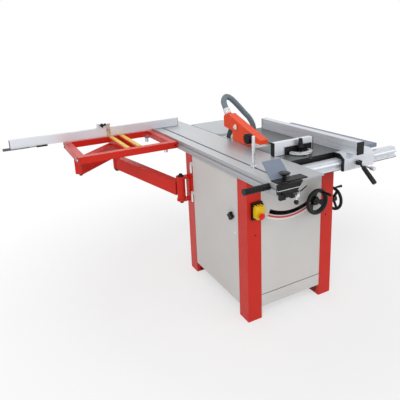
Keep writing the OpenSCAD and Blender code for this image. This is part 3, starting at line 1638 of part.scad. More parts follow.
// Dished wheel round Z, its face on +Z, with a cranked handle
module dished_wheel() {
  r = wheel_d / 2;
  rotate_extrude() translate([r - rim_r, 0]) circle(rim_r);
  translate([0, 0, -dish - hub_l / 2]) cylinder(r = hub_r, h = hub_l);
  difference() {
    rotate_extrude() polygon([[0, -dish - web_t], [hub_r, -dish - web_t], [r - rim_r, -web_t / 2],
      [r - rim_r, web_t / 2], [hub_r, -dish], [0, -dish]]);
    for (i = [0 : windows - 1]) rotate(i * 360 / windows) rotate_extrude(angle = window_a)
      translate([hub_r + window_in, -dish - 2 * web_t])
        square([r - 2 * rim_r - hub_r - 2 * window_in, dish + 4 * web_t]);
  }
  rotate(60) translate([r - rim_r * 3 / 2, 0, 0]) {
    cylinder(r1 = handle_r / 2, r2 = handle_r, h = handle_l);
    translate([0, 0, handle_l]) sphere(r = handle_r);
  }
}

wheel_out = 43;
module height_wheel() {
  color("black") {
    rod_y(shaft_r, -half_d - wheel_out, trun_y0 + trun_t + cheek_gap + 4 * cheek_t, height_x, height_z);
    translate([height_x, -half_d - wheel_out, height_z]) rotate([90, 0, 0]) dished_wheel();
  }
}

spokes = 3;
spoke_w = 16;
tilt_wheel_out = 124;
module tilt_wheel() {
  r = wheel_d / 2;
  color("black") {
    rod_x(shaft_r, half_w - 2 * panel_fold, half_w + tilt_wheel_out, tilt_wheel_y, tilt_wheel_z);
    rod_x(hub_r, half_w + tilt_wheel_out - hub_l, half_w + tilt_wheel_out, tilt_wheel_y, tilt_wheel_z);
    translate([half_w + tilt_wheel_out - hub_l / 2, tilt_wheel_y, tilt_wheel_z]) rotate([0, 90, 0]) {
      rotate_extrude() translate([r - rim_r, 0]) circle(rim_r);
      for (i = [0 : spokes - 1]) rotate(i * 360 / spokes + 90)
        translate([0, -spoke_w / 2, -web_t / 2]) cube([r - rim_r, spoke_w, web_t]);
      translate([-r + rim_r, 0, 0]) cylinder(r1 = handle_r / 2, r2 = handle_r, h = handle_l);
    }
  }
}

// Chip outlet on the rear panel: box, wide stub for an extractor, small stub for the guard's hose
port_l = 60;
port_box_w = 150;
port_box_h = 130;
port_box_deep = 84;
port_stub_x = 165;
port_stub_back = 50;
port_stub_y = half_d + port_stub_back;
port_stub_rise = 116;
port_stub_z = port_z + port_stub_rise;
module dust_port() {
  y1 = half_d - panel_step + port_box_deep;
  top = port_z + port_box_h / 2;
  color("black") difference() {
    union() {
      box(port_x - port_box_w / 2, port_x + port_box_w / 2, half_d - panel_step, y1,
          port_z - port_box_h / 2, top);
      rod_y(port_r, y1 - overrun, y1 + port_l, port_x, port_z);
      rod_z(stub_r, top - overrun, port_stub_z, port_stub_x, port_stub_y);
    }
    box(port_x - port_box_w / 2 + port_wall, port_x + port_box_w / 2 - port_wall,
        half_d - panel_t - overrun, y1 - port_wall,
      port_z - port_box_h / 2 + port_wall, top - port_wall);
    rod_y(port_r - port_wall, y1 - 2 * port_wall, y1 + port_l + overrun, port_x, port_z);
    rod_z(stub_r - port_wall, top - 2 * port_wall, port_stub_z + overrun, port_stub_x, port_stub_y);
  }
}

// Extraction hose from the guard's stub to the chip outlet
hose_r = 18;
hose_sides = 12;
hose_gap = 1.5;
hose_top = [blade_x, stub_y + (stub_l + hose_gap) * sin(stub_lean),
    stub_z + (stub_l + hose_gap) * cos(stub_lean)];
hose_foot = [port_stub_x, port_stub_y, port_stub_z + roll_clear];
hose_route = [hose_top, hose_top + [0, 21, 25], hose_top + [4, 42, 48], [8, 340, 1082], [32, 356, 1090],
    [68, 368, 1077],
  [108, 380, 1046], [150, 390, 1007], [192, 400, 966], [236, 408, 923], [266, 412, 876], [278, 414, 828],
      [276, 412, 780],
  [262, 408, 734], [236, 402, 696], [210, 396, 664], hose_foot + [22, 4, 50], hose_foot + [4, 0, 24],
      hose_foot];
hose_last = len(hose_route) - 1;
function unit(v) = v / norm(v);
function hose_dir(i) = i == 0 ? unit([0, sin(stub_lean), cos(stub_lean)]) : i == hose_last ? [0, 0, -1]
  : unit(hose_route[i + 1] - hose_route[i - 1]);
function hose_ring(i, r) = let (d = hose_dir(i), u = unit(cross(d, [1, 1, 0])), v = cross(d, u))
  [for (k = [0 : hose_sides - 1])
    hose_route[i] + r * (cos(k * 360 / hose_sides) * u + sin(k * 360 / hose_sides) * v)];
module guard_hose() {
  n = hose_sides;
  points = [for (i = [0 : hose_last]) each hose_ring(i, hose_r)];
  sides = [for (i = [0 : hose_last - 1], k = [0 : n - 1], half = [0, 1])
    half == 0 ? [i * n + k, i * n + (k + 1) % n, (i + 1) * n + (k + 1) % n]
      : [i * n + k, (i + 1) * n + (k + 1) % n, (i + 1) * n + k]];
  ends = [[for (k = [n - 1 : -1 : 0]) k], [for (k = [0 : n - 1]) hose_last * n + k]];
  color("slategray") polyhedron(points, concat(ends, sides));
}

left_legs();
right_legs();
front_panel();
right_panel();
rear_panel();
chip_pan();
top_frame();
rail_brackets();
slide_rail();
main_table();
table_insert();
table_wing();
rear_table();
front_rail();
rail_backing();
switch_plate();
trunnions();
arm_bracket();
dust_port();
door_hinges();
side_door();
door_knob();
switch_cover();
stop_button();
start_button();
lock_lever();
roller_cage();
carriage();
carriage_end_cap();
push_grip();
edging_shoe();
shoe_knob();
clamp_post();
outrigger_frame();
outrigger_strips();
outrigger_clamps();
crosscut_fence();
fence_pivot_knob();
fence_extension();
stop_carrier();
stop_flap();
arm_lower();
arm_upper();
rip_fence();
rip_head();
rip_lever();
fine_knob();
mitre_bar();
mitre_head();
mitre_fence();
tilt_frame();
riving_knife();
guard_hood();
guard_knob();
guard_flap();
motor_unit();
saw_blade();
height_wheel();
tilt_wheel();
guard_hose();
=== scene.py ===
import math

import bmesh
import bpy
from mathutils import Matrix, Vector


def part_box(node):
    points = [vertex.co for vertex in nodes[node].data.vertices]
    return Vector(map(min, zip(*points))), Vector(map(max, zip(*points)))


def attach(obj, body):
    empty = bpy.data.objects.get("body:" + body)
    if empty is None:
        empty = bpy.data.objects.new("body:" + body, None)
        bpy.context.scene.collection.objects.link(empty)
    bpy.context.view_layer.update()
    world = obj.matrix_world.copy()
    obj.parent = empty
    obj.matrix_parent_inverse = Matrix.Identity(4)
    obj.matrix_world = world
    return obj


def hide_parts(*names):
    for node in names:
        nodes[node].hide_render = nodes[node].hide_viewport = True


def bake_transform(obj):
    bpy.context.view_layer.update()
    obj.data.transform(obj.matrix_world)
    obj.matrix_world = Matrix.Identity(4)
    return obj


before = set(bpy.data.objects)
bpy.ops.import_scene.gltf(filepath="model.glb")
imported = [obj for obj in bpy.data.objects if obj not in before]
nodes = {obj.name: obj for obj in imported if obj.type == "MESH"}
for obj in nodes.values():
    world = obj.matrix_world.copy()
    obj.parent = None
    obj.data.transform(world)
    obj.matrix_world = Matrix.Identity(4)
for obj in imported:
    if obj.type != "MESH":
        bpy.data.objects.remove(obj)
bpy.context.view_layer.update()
print("frame loaded:", len(nodes), "nodes")


# Camera, fitted to the photograph's straight edges
camera = {"eye": (-1.339, -1.956, 1.472), "yaw": 26.8, "pitch": 15.08, "roll": -2.65, "lens": 38.25, "film": 36,
    "shiftY": -0.125, "sees": 50}


def makeCamera(c):
    yaw, pitch, roll = (math.radians(c[k]) for k in ("yaw", "pitch", "roll"))
    ahead = Vector((math.sin(yaw) * math.cos(pitch), math.cos(yaw) * math.cos(pitch), -math.sin(pitch)))
    right = Vector((math.cos(yaw), -math.sin(yaw), 0))
    up = right.cross(ahead)
    leanRight = right * math.cos(roll) + up * math.sin(roll)
    leanUp = up * math.cos(roll) - right * math.sin(roll)
    data = bpy.data.cameras.new("camera")
    data.lens = c["lens"]
    data.sensor_width = c["film"]
    data.shift_y = c["shiftY"]
    data.clip_end = c["sees"]
    obj = bpy.data.objects.new("camera", data)
    bpy.context.scene.collection.objects.link(obj)
    turn = Matrix((leanRight, leanUp, -ahead)).transposed()
    obj.matrix_world = Matrix.Translation(c["eye"]) @ turn.to_4x4()
    bpy.context.scene.camera = obj


makeCamera(camera)
print("camera set")


# Shader maths: a socket that takes part in Python sums
class Value:
    def __init__(self, net, socket):
        self.net = net
        self.socket = socket

    def sum(self, kind, other, swapped=False):
        first, second = (other, self) if swapped else (self, other)
        return self.net.make("ShaderNodeMath", {"operation": kind}, {0: first, 1: second})

    def __add__(self, other):
        return self.sum("ADD", other)

    __radd__ = __add__

    def __mul__(self, other):
        return self.sum("MULTIPLY", other)

    __rmul__ = __mul__

    def __sub__(self, other):
        return self.sum("SUBTRACT", other)

    def __rsub__(self, other):
        return self.sum("SUBTRACT", other, True)

    def __truediv__(self, other):
        return self.sum("DIVIDE", other)

    def __rtruediv__(self, other):
        return self.sum("DIVIDE", other, True)

    def __gt__(self, other):
        return self.sum("GREATER_THAN", other)

    def __lt__(self, other):
        return self.sum("LESS_THAN", other)

    def either(self, other):
        return self.sum("MAXIMUM", other)

    def part(self):
        return self.net.make("ShaderNodeMath", {"operation": "FRACT"}, {0: self})

    def root(self):
        return self.net.make("ShaderNodeMath", {"operation": "SQRT"}, {0: self})

    def ramp(self, low, high, outLow=0.0, outHigh=1.0):
        return self.net.make("ShaderNodeMapRange", {"clamp": True}, {0: self, 1: low, 2: high, 3: outLow, 4: outHigh})

    # For noise, which lies mostly between 0.3 and 0.7
    def spread(self, outLow=0.0, outHigh=1.0):
        return self.ramp(0.3, 0.7, outLow, outHigh)


class Net:
    def __init__(self, name, world=None):
        self.material = world or bpy.data.materials.new(name)
        self.material.use_nodes = True
        self.tree = self.material.node_tree
        self.tree.nodes.clear()
        self.out = self.tree.nodes.new("ShaderNodeOutputWorld" if world else "ShaderNodeOutputMaterial")
        self.place = self.make("ShaderNodeTexCoord", {}, {}, "Object")

    def make(self, kind, settings, inputs, output=0):
        node = self.tree.nodes.new(kind)
        for key, value in settings.items():
            setattr(node, key, value)
        for key, value in inputs.items():
            if isinstance(value, Value):
                self.tree.links.new(value.socket, node.inputs[key])
            else:
                node.inputs[key].default_value = value
        return Value(self, node.outputs[output])

    def axes(self):
        parts = self.make("ShaderNodeSeparateXYZ", {}, {0: self.place}).socket.node
        return [Value(self, parts.outputs[i]) for i in range(3)]

    def noise(self, scale, detail=3.0, stretch=(1, 1, 1), rough=0.55):
        place = self.make("ShaderNodeVectorMath", {"operation": "MULTIPLY"}, {0: self.place, 1: stretch})
        return self.make("ShaderNodeTexNoise", {}, {"Vector": place, "Scale": scale, "Detail": detail,
            "Roughness": rough})

    def mix(self, factor, first, second):
        return self.make("ShaderNodeMix", {"data_type": "RGBA"}, {0: factor, 6: first, 7: second}, 2)

    def fillet(self, radius):
        return self.make("ShaderNodeBevel", {"samples": 4}, {"Radius": radius})

    # 1 along edges, 0 on flat faces
    def edges(self, radius):
        true = self.make("ShaderNodeNewGeometry", {}, {}, "True Normal")
        facing = self.make("ShaderNodeVectorMath", {"operation": "DOT_PRODUCT"}, {0: self.fillet(radius), 1: true},
            "Value")
        return facing.ramp(0.98, 0.8)

    def bump(self, height, strength, deep=0.0003, round=0.0008):
        return self.make("ShaderNodeBump", {}, {"Height": height, "Strength": strength, "Distance": deep,
            "Normal": self.fillet(round)})

    def surface(self, **inputs):
        return self.make("ShaderNodeBsdfPrincipled", {}, {k.replace("_", " "): v for k, v in inputs.items()})

    def close(self, shader):
        self.tree.links.new(shader.socket, self.out.inputs["Surface"])
        return self.material


# A colour made darker or lighter, with its alpha
def shade(colour, gain):
    return tuple(min(1.0, c * gain) for c in colour) + (1.0,)


# Powder coat and enamel: slow drift of tone, orange peel, paler rubbed edges
def paint(net, colour, rough=0.42, drift=0.06, peel=0.05, coat=0.15, rubbed=0.35):
    broad = net.noise(4.0, detail=4.0)
    fine = net.noise(160.0, detail=2.0)
    tone = broad.spread() * 0.75 + fine.ramp(0.35, 0.65) * 0.25
    base = net.mix(tone, shade(colour, 1 - drift), shade(colour, 1 + drift))
    rub = net.edges(radius=0.0016) * net.noise(55.0, detail=4.0).ramp(0.42, 0.62) * rubbed
    paler = [0.35 + 0.6 * c for c in colour]
    return net.surface(Base_Color=net.mix(rub, base, shade(paler, 1.0)),
        Roughness=net.noise(30.0).spread(rough - 0.06, rough + 0.08), Coat_Weight=coat, Coat_Roughness=0.3,
        Specular_IOR_Level=0.25, Normal=net.bump(net.noise(700.0, detail=2.0), peel, deep=0.0004, round=0.0014))


# Moulded plastic: fine grain with handled, shinier patches
def plastic(net, colour, rough=0.3, grain=0.08, drift=0.12):
    handled = net.noise(18.0)
    base = net.mix(handled.spread(), shade(colour, 1 - drift), shade(colour, 1 + drift))
    return net.surface(Base_Color=base, Roughness=handled.spread(rough - 0.08, rough + 0.12),
        Specular_IOR_Level=0.25, Normal=net.bump(net.noise(1500.0, detail=2.0), grain))


# Noise drawn out along one axis
def drawnOut(along, share):
    return [share if i == along else 1.0 for i in range(3)]


# Extruded metal, lined along one axis
def extruded(net, colour, along, rough=0.34, metal=0.85, lines=0.12):
    streak = net.noise(900.0, stretch=drawnOut(along, 0.004))
    broad = net.noise(5.0, stretch=drawnOut(along, 0.25))
    tone = streak.spread() * 0.6 + broad.spread() * 0.4
    base = net.mix(tone, shade(colour, 0.92), shade(colour, 1.06))
    return net.surface(Base_Color=base, Metallic=metal, Roughness=tone.ramp(0.2, 0.8, rough - 0.07, rough + 0.1),
        Normal=net.bump(streak, lines, round=0.0004))


# Ground casting: fine lines, stains and a faint oil sheen
def groundIron(net, colour, along=1, rough=0.42, metal=0.55):
    lines = net.noise(1100.0, stretch=drawnOut(along, 0.006))
    stain = net.noise(9.0, detail=5.0)
    tone = lines.spread() * 0.5 + stain.ramp(0.25, 0.75) * 0.5
    base = net.mix(tone, shade(colour, 0.84), shade(colour, 1.12))
    return net.surface(Base_Color=base, Metallic=metal,
        Roughness=stain.ramp(0.25, 0.75, rough - 0.1, rough + 0.12), Normal=net.bump(lines, 0.15))


# Turned or polished steel
def brightSteel(net, colour=(0.72, 0.73, 0.75), rough=0.2):
    smear = net.noise(40.0, detail=4.0)
    scratch = net.noise(1400.0, detail=2.0, stretch=drawnOut(2, 0.02))
    base = net.mix(smear.spread(), shade(colour, 0.9), shade(colour, 1.06))
    return net.surface(Base_Color=base, Metallic=0.95, Roughness=smear.spread(rough - 0.06, rough + 0.12),
        Normal=net.bump(scratch, 0.06, deep=0.0002))


def finish(name, kind, settings):
    net = Net(name)
    return net.close(kind(net, **settings))


# One node in two finishes: the second where the mask is 1
def parted(name, mask, first, second):
    net = Net(name)
    factor = mask(*net.axes())
    under, over = (kind(net, **settings) for kind, settings in (first, second))
    return net.close(net.make("ShaderNodeMixShader", {}, {0: factor, 1: under, 2: over}))


# Finishes: the kind and what it is told; an extrusion or a casting is lined along x (0) or y (1)
coat = {
    "red": (paint, dict(colour=(0.60, 0.016, 0.006), rough=0.36, drift=0.07, peel=0.06, coat=0.06, rubbed=0.2)),
    "panel": (paint, dict(colour=(0.63, 0.615, 0.60), rough=0.5, drift=0.03, peel=0.04, coat=0.05)),
    "blueGrey": (paint, dict(colour=(0.215, 0.25, 0.325), rough=0.45, drift=0.07, peel=0.05, coat=0.05)),
    "lightGrey": (paint, dict(colour=(0.52, 0.55, 0.57), rough=0.45, drift=0.05, peel=0.05, coat=0.1)),
    "blackPaint": (paint, dict(colour=(0.008, 0.008, 0.009), rough=0.45, drift=0.2, peel=0.06, coat=0.0, rubbed=0.06)),
    "white": (paint, dict(colour=(0.78, 0.78, 0.76), rough=0.4, drift=0.04, peel=0.04, coat=0.1)),
    "motor": (paint, dict(colour=(0.06, 0.09, 0.13), rough=0.45, drift=0.1, peel=0.06, coat=0.1)),
    "casting": (paint, dict(colour=(0.06, 0.065, 0.07), rough=0.6, drift=0.2, peel=0.2, coat=0.0)),
    "black": (plastic, dict(colour=(0.006, 0.006, 0.007), rough=0.36)),
    "yellow": (plastic, dict(colour=(0.85, 0.55, 0.01), rough=0.3)),
    "redPlastic": (plastic, dict(colour=(0.72, 0.015, 0.012), rough=0.25)),
    "green": (plastic, dict(colour=(0.02, 0.3, 0.05), rough=0.3)),
    "guard": (plastic, dict(colour=(0.90, 0.078, 0.02), rough=0.34, grain=0.1, drift=0.06)),
    "whitePlastic": (plastic, dict(colour=(0.8, 0.8, 0.78), rough=0.3, grain=0.05, drift=0.04)),
    "alloyX": (extruded, dict(colour=(0.775, 0.805, 0.855), along=0, rough=0.36, metal=0.55)),
    "railAlloy": (extruded, dict(colour=(0.69, 0.715, 0.76), along=0, rough=0.36, metal=0.5)),
    "alloyY": (extruded, dict(colour=(0.435, 0.45, 0.47), along=1, rough=0.42, metal=0.45)),
    "fenceAlloy": (extruded, dict(colour=(0.70, 0.735, 0.78), along=1, rough=0.42, metal=0.45)),
    "table": (groundIron, dict(colour=(0.15, 0.165, 0.17), along=1)),
    "insert": (groundIron, dict(colour=(0.5, 0.52, 0.53), along=1, rough=0.36)),
    "steel": (brightSteel, {}),
    "knife": (brightSteel, dict(colour=(0.08, 0.08, 0.085), rough=0.4)),
}
look = {name: finish(name + "Finish", *made) for name, made in coat.items()}

# Nodes of the part that wear each finish
wear = {
    "red": ["left_legs", "right_legs", "arm_upper", "outrigger_frame"],
    "panel": ["front_panel", "right_panel", "rear_panel", "chip_pan", "side_door"],
    "blueGrey": ["table_wing"],
    "lightGrey": ["rear_table"],
    # Painted shade: rail_backing is black to stand for the shadowed gap between the main table and the front rail
    "blackPaint": ["rail_brackets", "rail_backing", "fence_extension"],
    "white": ["door_hinges"],
    "motor": ["motor_unit"],
    "black": ["switch_plate", "door_knob", "push_grip", "shoe_knob", "fence_pivot_knob", "rip_lever",
        "mitre_head", "guard_knob", "dust_port", "height_wheel", "tilt_wheel"],
    "yellow": ["switch_cover", "outrigger_strips"],
    "redPlastic": ["stop_button"],
    "green": ["start_button"],
    "guard": ["guard_hood", "guard_flap"],
    "alloyX": ["crosscut_fence"],
    "alloyY": ["carriage", "slide_rail"],
    "insert": ["table_insert"],
    "casting": ["top_frame", "trunnions", "tilt_frame"],
    "steel": ["roller_cage", "clamp_post", "outrigger_clamps", "stop_flap", "mitre_bar", "saw_blade", "fine_knob"],
    "knife": ["riving_knife"],
}


def dress(name, material):
    for slot in nodes[name].material_slots:
        slot.material = material


for key, names in wear.items():
    for name in names:
        dress(name, look[key])

# Places where one solid changes its finish, just off the steps in its own faces
cut = {"railFoot": 0.7712, "shoeTop": 0.8556, "shoeBack": -0.5435, "lineLow": 0.8232, "lineHigh": 0.8256,
    "capFront": -0.6, "tableFrontPaintedShade": -0.3585, "ripFront": -0.4712, "ripBack": 0.3432, "headGasket": 0.2549,
    "headFront": -0.4321, "mitreLeft": -0.0512, "mitreRight": 0.1992, "ballTop": 0.7745, "stopKnob": 0.7935,
    "pinLow": 0.4819, "pinHigh": 0.6401, "elbowPin": 0.6119, "elbowBack": 0.8}

# Caps, balls and gaskets that are one solid with what carries them, and the main table's front face, painted black as
# painted shade of the gap to the front rail
twoTone = {
    "front_rail": ("railAlloy", "blackPaint", lambda x, y, z: z < cut["railFoot"]),
    "edging_shoe": ("blueGrey", "blackPaint", lambda x, y, z: (z < cut["shoeTop"]) * (y < cut["shoeBack"])),
    "carriage_end_cap": ("black", "whitePlastic",
        lambda x, y, z: (z > cut["lineLow"]) * (z < cut["lineHigh"]) * (y < cut["capFront"])),
    # Painted shade: the table's front face is black to stand for the shadowed gap between the table and the front rail
    "main_table": ("table", "blackPaint", lambda x, y, z: y < cut["tableFrontPaintedShade"]),
    "rip_fence": ("fenceAlloy", "black", lambda x, y, z: (y < cut["ripFront"]).either(y > cut["ripBack"])),
    "rip_head": ("railAlloy", "black", lambda x, y, z: (x < cut["headGasket"]).either(y < cut["headFront"])),
    "mitre_fence": ("alloyX", "black", lambda x, y, z: (x < cut["mitreLeft"]).either(x > cut["mitreRight"])),
    "lock_lever": ("steel", "black", lambda x, y, z: z < cut["ballTop"]),
    "stop_carrier": ("alloyX", "black", lambda x, y, z: y < cut["stopKnob"]),
    "arm_bracket": ("red", "black", lambda x, y, z: (z < cut["pinLow"]).either(z > cut["pinHigh"])),
    "arm_lower": ("red", "black", lambda x, y, z: (z < cut["elbowPin"]) * (y > cut["elbowBack"])),
}
for name, (first, second, mask) in twoTone.items():
    dress(name, parted(name + "Finish", mask, coat[first], coat[second]))
print("finishes given to", sum(len(v) for v in wear.values()) + len(twoTone), "nodes")


# Two directions across an axis, and the axis itself
def frameOf(axis):
    ahead = Vector(axis).normalized()
    side = ahead.orthogonal().normalized()
    return side, ahead.cross(side), ahead


# Faces between two closed rows, one of which may be a single point
def bridge(shape, first, second):
    count = max(len(first), len(second))
    for i in range(count):
        j = (i + 1) % count
        if len(first) == 1:
            shape.faces.new((first[0], second[i], second[j]))
        elif len(second) == 1:
            shape.faces.new((first[i], first[j], second[0]))
        else:
            shape.faces.new((first[i], first[j], second[j], second[i]))


# Turns a profile of (radius, height) pairs round an axis; a ring joins its last pair to its first
def lathe(shape, profile, origin, axis, sides, ring=False):
    side, other, ahead = frameOf(axis)
    angles = [2 * math.pi * i / sides for i in range(sides)]
    rows = []
    for radius, height in profile:
        middle = Vector(origin) + ahead * height
        if radius == 0:
            rows.append([shape.verts.new(middle)])
            continue
        rows.append([shape.verts.new(middle + (side * math.cos(a) + other * math.sin(a)) * radius) for a in angles])
    for first, second in zip(rows, rows[1:] + (rows[:1] if ring else [])):
        bridge(shape, first, second)


# Carries a closed section of (radius, height) pairs along part of a circle, with closed ends
def arcBar(shape, section, centre, outward, across, ahead, start, end, steps):
    rows = []
    for i in range(steps + 1):
        a = math.radians(start + (end - start) * i / steps)
        ray = Vector(outward) * math.cos(a) + Vector(across) * math.sin(a)
        rows.append([shape.verts.new(Vector(centre) + ray * r + Vector(ahead) * h) for r, h in section])
    for first, second in zip(rows, rows[1:]):
        bridge(shape, first, second)
    shape.faces.new(rows[0])
    shape.faces.new(rows[-1])


# Block with rounded edges and, on its face, a sunk panel
def plugBlock(shape, low, high, axis, round=0.0015, sunk=0.0015, rim=0.004):
    middle = (Vector(low) + Vector(high)) / 2
    size = Vector(high) - Vector(low)
    made = bmesh.ops.create_cube(shape, size=1.0, matrix=Matrix.Translation(middle) @ Matrix.Diagonal(size).to_4x4())
    faces = {f for v in made["verts"] for f in v.link_faces}
    front = max(faces, key=lambda f: f.calc_center_median().dot(Vector(axis)))
    edges = list({e for v in made["verts"] for e in v.link_edges})
    bmesh.ops.inset_region(shape, faces=[front], thickness=rim, depth=0)
    for v in front.verts:
        v.co -= Vector(axis) * sunk
    bmesh.ops.bevel(shape, geom=[e for e in edges if e.is_valid], offset=round, segments=2, affect="EDGES")


# One object of the scene on its body; the hose has no single body
def piece(name, shape, material, body, sharp=38):
    mesh = bpy.data.meshes.new(name)
    bmesh.ops.recalc_face_normals(shape, faces=shape.faces)
    shape.to_mesh(mesh)
    shape.free()
    obj = bpy.data.objects.new(name, mesh)
    bpy.context.scene.collection.objects.link(obj)
    mesh.materials.append(material)
    mesh.polygons.foreach_set("use_smooth", [True] * len(mesh.polygons))
    mesh.set_sharp_from_angle(angle=math.radians(sharp))
    if body:
        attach(obj, body)
    return obj


seat = 0.0003  # how far a fitting sinks into what carries it


# A small fitting in one of the shared finishes
def fit(name, shape, key, body, sharp=38):
    piece(name, shape, look[key], body, sharp)


# Guard hose, a ribbed hose from the hood's nozzle to the small stub of the chip outlet
hose = {"route": [(-12, 278.547, 1016.637), (-12, 299.547, 1041.637), (-8, 320.547, 1064.637), (8, 340, 1082),
        (32, 356, 1090), (68, 368, 1077), (108, 380, 1046), (150, 390, 1007), (192, 400, 966), (236, 408, 923),
        (266, 412, 876), (278, 414, 828), (276, 412, 780), (262, 408, 734), (236, 402, 696), (210, 396, 664),
        (187, 391, 636.3), (169, 387, 610.3), (165, 387, 586.3)],
    "fineSteps": 40, "radius": 0.018, "ribDeep": 0.0014, "ribPitch": 0.0052, "perRib": 4, "sides": 28,
    "finish": (plastic, dict(colour=(0.2, 0.25, 0.285), rough=0.5, grain=0.1, drift=0.1)), "sharp": 70}


# Points at even steps along a smooth curve through the route, which is in millimetres
def evenPath(route, step, fineSteps):
    points = [Vector(p) / 1000 for p in route]
    points = [points[0] * 2 - points[1]] + points + [points[-1] * 2 - points[-2]]
    fine = []
    for a, b, c, d in zip(points, points[1:], points[2:], points[3:]):
        line, square, cube = c - a, 2 * a - 5 * b + 4 * c - d, 3 * b - a - 3 * c + d
        for i in range(fineSteps):
            t = i / fineSteps
            fine.append(0.5 * (2 * b + line * t + square * t * t + cube * t ** 3))
    fine.append(points[-2])
    run = [0.0]
    for p, q in zip(fine, fine[1:]):
        run.append(run[-1] + (q - p).length)
    count = round(run[-1] / step)
    made, at = [], 0
    for i in range(count + 1):
        want = run[-1] * i / count
        while at < len(fine) - 2 and run[at + 1] < want:
            at += 1
        share = (want - run[at]) / (run[at + 1] - run[at])
        made.append(fine[at].lerp(fine[at + 1], share))
    return made, run[-1]


def makeHose(h):
    path, length = evenPath(h["route"], h["ribPitch"] / h["perRib"], h["fineSteps"])
    shape = bmesh.new()
    side = Vector((1, 0, 0))
    turns = [2 * math.pi * k / h["sides"] for k in range(h["sides"])]
    last = None
    for i, p in enumerate(path):
        ahead = (path[min(i + 1, len(path) - 1)] - path[max(i - 1, 0)]).normalized()
        side = (side - ahead * side.dot(ahead)).normalized()
        other = ahead.cross(side)
        rib = 0.5 + 0.5 * math.cos(2 * math.pi * i / h["perRib"])
        radius = h["radius"] - h["ribDeep"] * (1 - rib)
        row = [shape.verts.new(p + (side * math.cos(a) + other * math.sin(a)) * radius) for a in turns]
        if last:
            bridge(shape, last, row)
        else:
            shape.faces.new(row)
        last = row
    shape.faces.new(last)
    obj = piece("guardHose", shape, finish("hoseFinish", *h["finish"]), None, h["sharp"])
    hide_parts("guard_hose")
    [tuple(p) for p in path[:: h["perRib"]]] + [tuple(path[-1])]
    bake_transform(obj)
    return length


print("hose length", round(makeHose(hose), 3))

# Cuffs with a screw clamp on the hose's two ends; pairs are (from, to) along the cuff
cuffs = {"lean": 40, "nozzle": (-0.012, 0.2785, 1.0166), "port": (0.165, 0.387, 0.5863), "outer": 0.0215,
    "inner": 0.0182, "back": 0.026, "ahead": 0.012, "sides": 48, "rim": 0.001, "waist": (-0.017, -0.005),
    "waistDeep": 0.0012, "groove": (0.002, 0.006), "grooveDeep": 0.0008, "band": (-0.015, -0.007),
    "bandThick": 0.0006, "bandSoft": 0.0002, "screwOut": 0.0025, "screwAside": 0.007, "screwSides": 12,
    "screw": [(0, 0), (0.0028, 0), (0.0032, 0.0008), (0.0032, 0.011), (0.0022, 0.0115), (0.0022, 0.0135),
        (0, 0.0135)]}


def makeCuff(name, at, axis, body, key, c):
    inner, outer, rim = c["inner"], c["outer"], c["rim"]
    waistFrom, waistTo = c["waist"]
    grooveFrom, grooveTo = c["groove"]
    bandFrom, bandTo = c["band"]
    waist, top = outer - c["waistDeep"], outer + c["bandThick"]
    shape = bmesh.new()
    lathe(shape, [(inner, -c["back"]), (outer - rim, -c["back"]), (outer, -c["back"] + rim), (outer, waistFrom),
        (waist, waistFrom + rim), (waist, waistTo - rim), (outer, waistTo), (outer, grooveFrom),
        (outer - c["grooveDeep"], (grooveFrom + grooveTo) / 2), (outer, grooveTo), (outer, c["ahead"] - rim),
        (outer - rim, c["ahead"]), (inner, c["ahead"])], at, axis, c["sides"], ring=True)
    fit(name, shape, key, body)
    band = bmesh.new()
    lathe(band, [(outer - rim, bandFrom), (top - c["bandSoft"], bandFrom), (top, bandFrom + rim), (top, bandTo - rim),
        (top - c["bandSoft"], bandTo), (outer - rim, bandTo)], at, axis, c["sides"], ring=True)
    side, other, ahead = frameOf(axis)
    screwAt = (Vector(at) + ahead * (bandFrom + bandTo) / 2 + side * (outer + c["screwOut"])
        - other * c["screwAside"])
    lathe(band, c["screw"], screwAt, other, c["screwSides"])
    fit(name + "Clamp", band, "steel", body)


leanAxis = (0, math.sin(math.radians(cuffs["lean"])), math.cos(math.radians(cuffs["lean"])))
makeCuff("nozzleCuff", cuffs["nozzle"], leanAxis, "tilt_unit", "whitePlastic", cuffs)
makeCuff("portCuff", cuffs["port"], (0, 0, 1), "base", "black", cuffs)
print("hose cuffs made")


# Red line of the tilt scale, on a thin pale strip under the wheel's slot
tiltScale = {"centre": (-0.012, -0.336, 0.85), "inner": 0.2995, "outer": 0.3195, "from": -28, "to": 34, "steps": 64,
    "thick": 0.0005, "shoulder": 0.7, "redWide": 0.0095, "pale": ((0.74, 0.73, 0.71, 1), (0.8, 0.79, 0.77, 1)),
    "red": ((0.6, 0.02, 0.02, 1), (0.68, 0.03, 0.025, 1))}


def tiltFinish(s):
    net = Net("tiltScaleFinish")
    x, _, z = net.axes()
    dx, dz = x - s["centre"][0], z - s["centre"][2]
    red = (dx * dx + dz * dz).root() < s["inner"] + s["redWide"]
    worn = net.noise(60.0, detail=4.0)
    base = net.mix(red, net.mix(worn, *s["pale"]), net.mix(worn, *s["red"]))
    return net.close(net.surface(Base_Color=base, Roughness=worn.spread(0.35, 0.5)))


def makeTiltScale(s):
    inner, outer, thick = s["inner"], s["outer"], s["thick"]
    section = [(inner, 0), (inner, thick * s["shoulder"]), (inner + thick, thick), (outer - thick, thick),
        (outer, thick * s["shoulder"]), (outer, 0)]
    shape = bmesh.new()
    arcBar(shape, section, s["centre"], (0, 0, -1), (1, 0, 0), (0, -1, 0), s["from"], s["to"], s["steps"])
    piece("tiltScale", shape, tiltFinish(s), "base")


makeTiltScale(tiltScale)

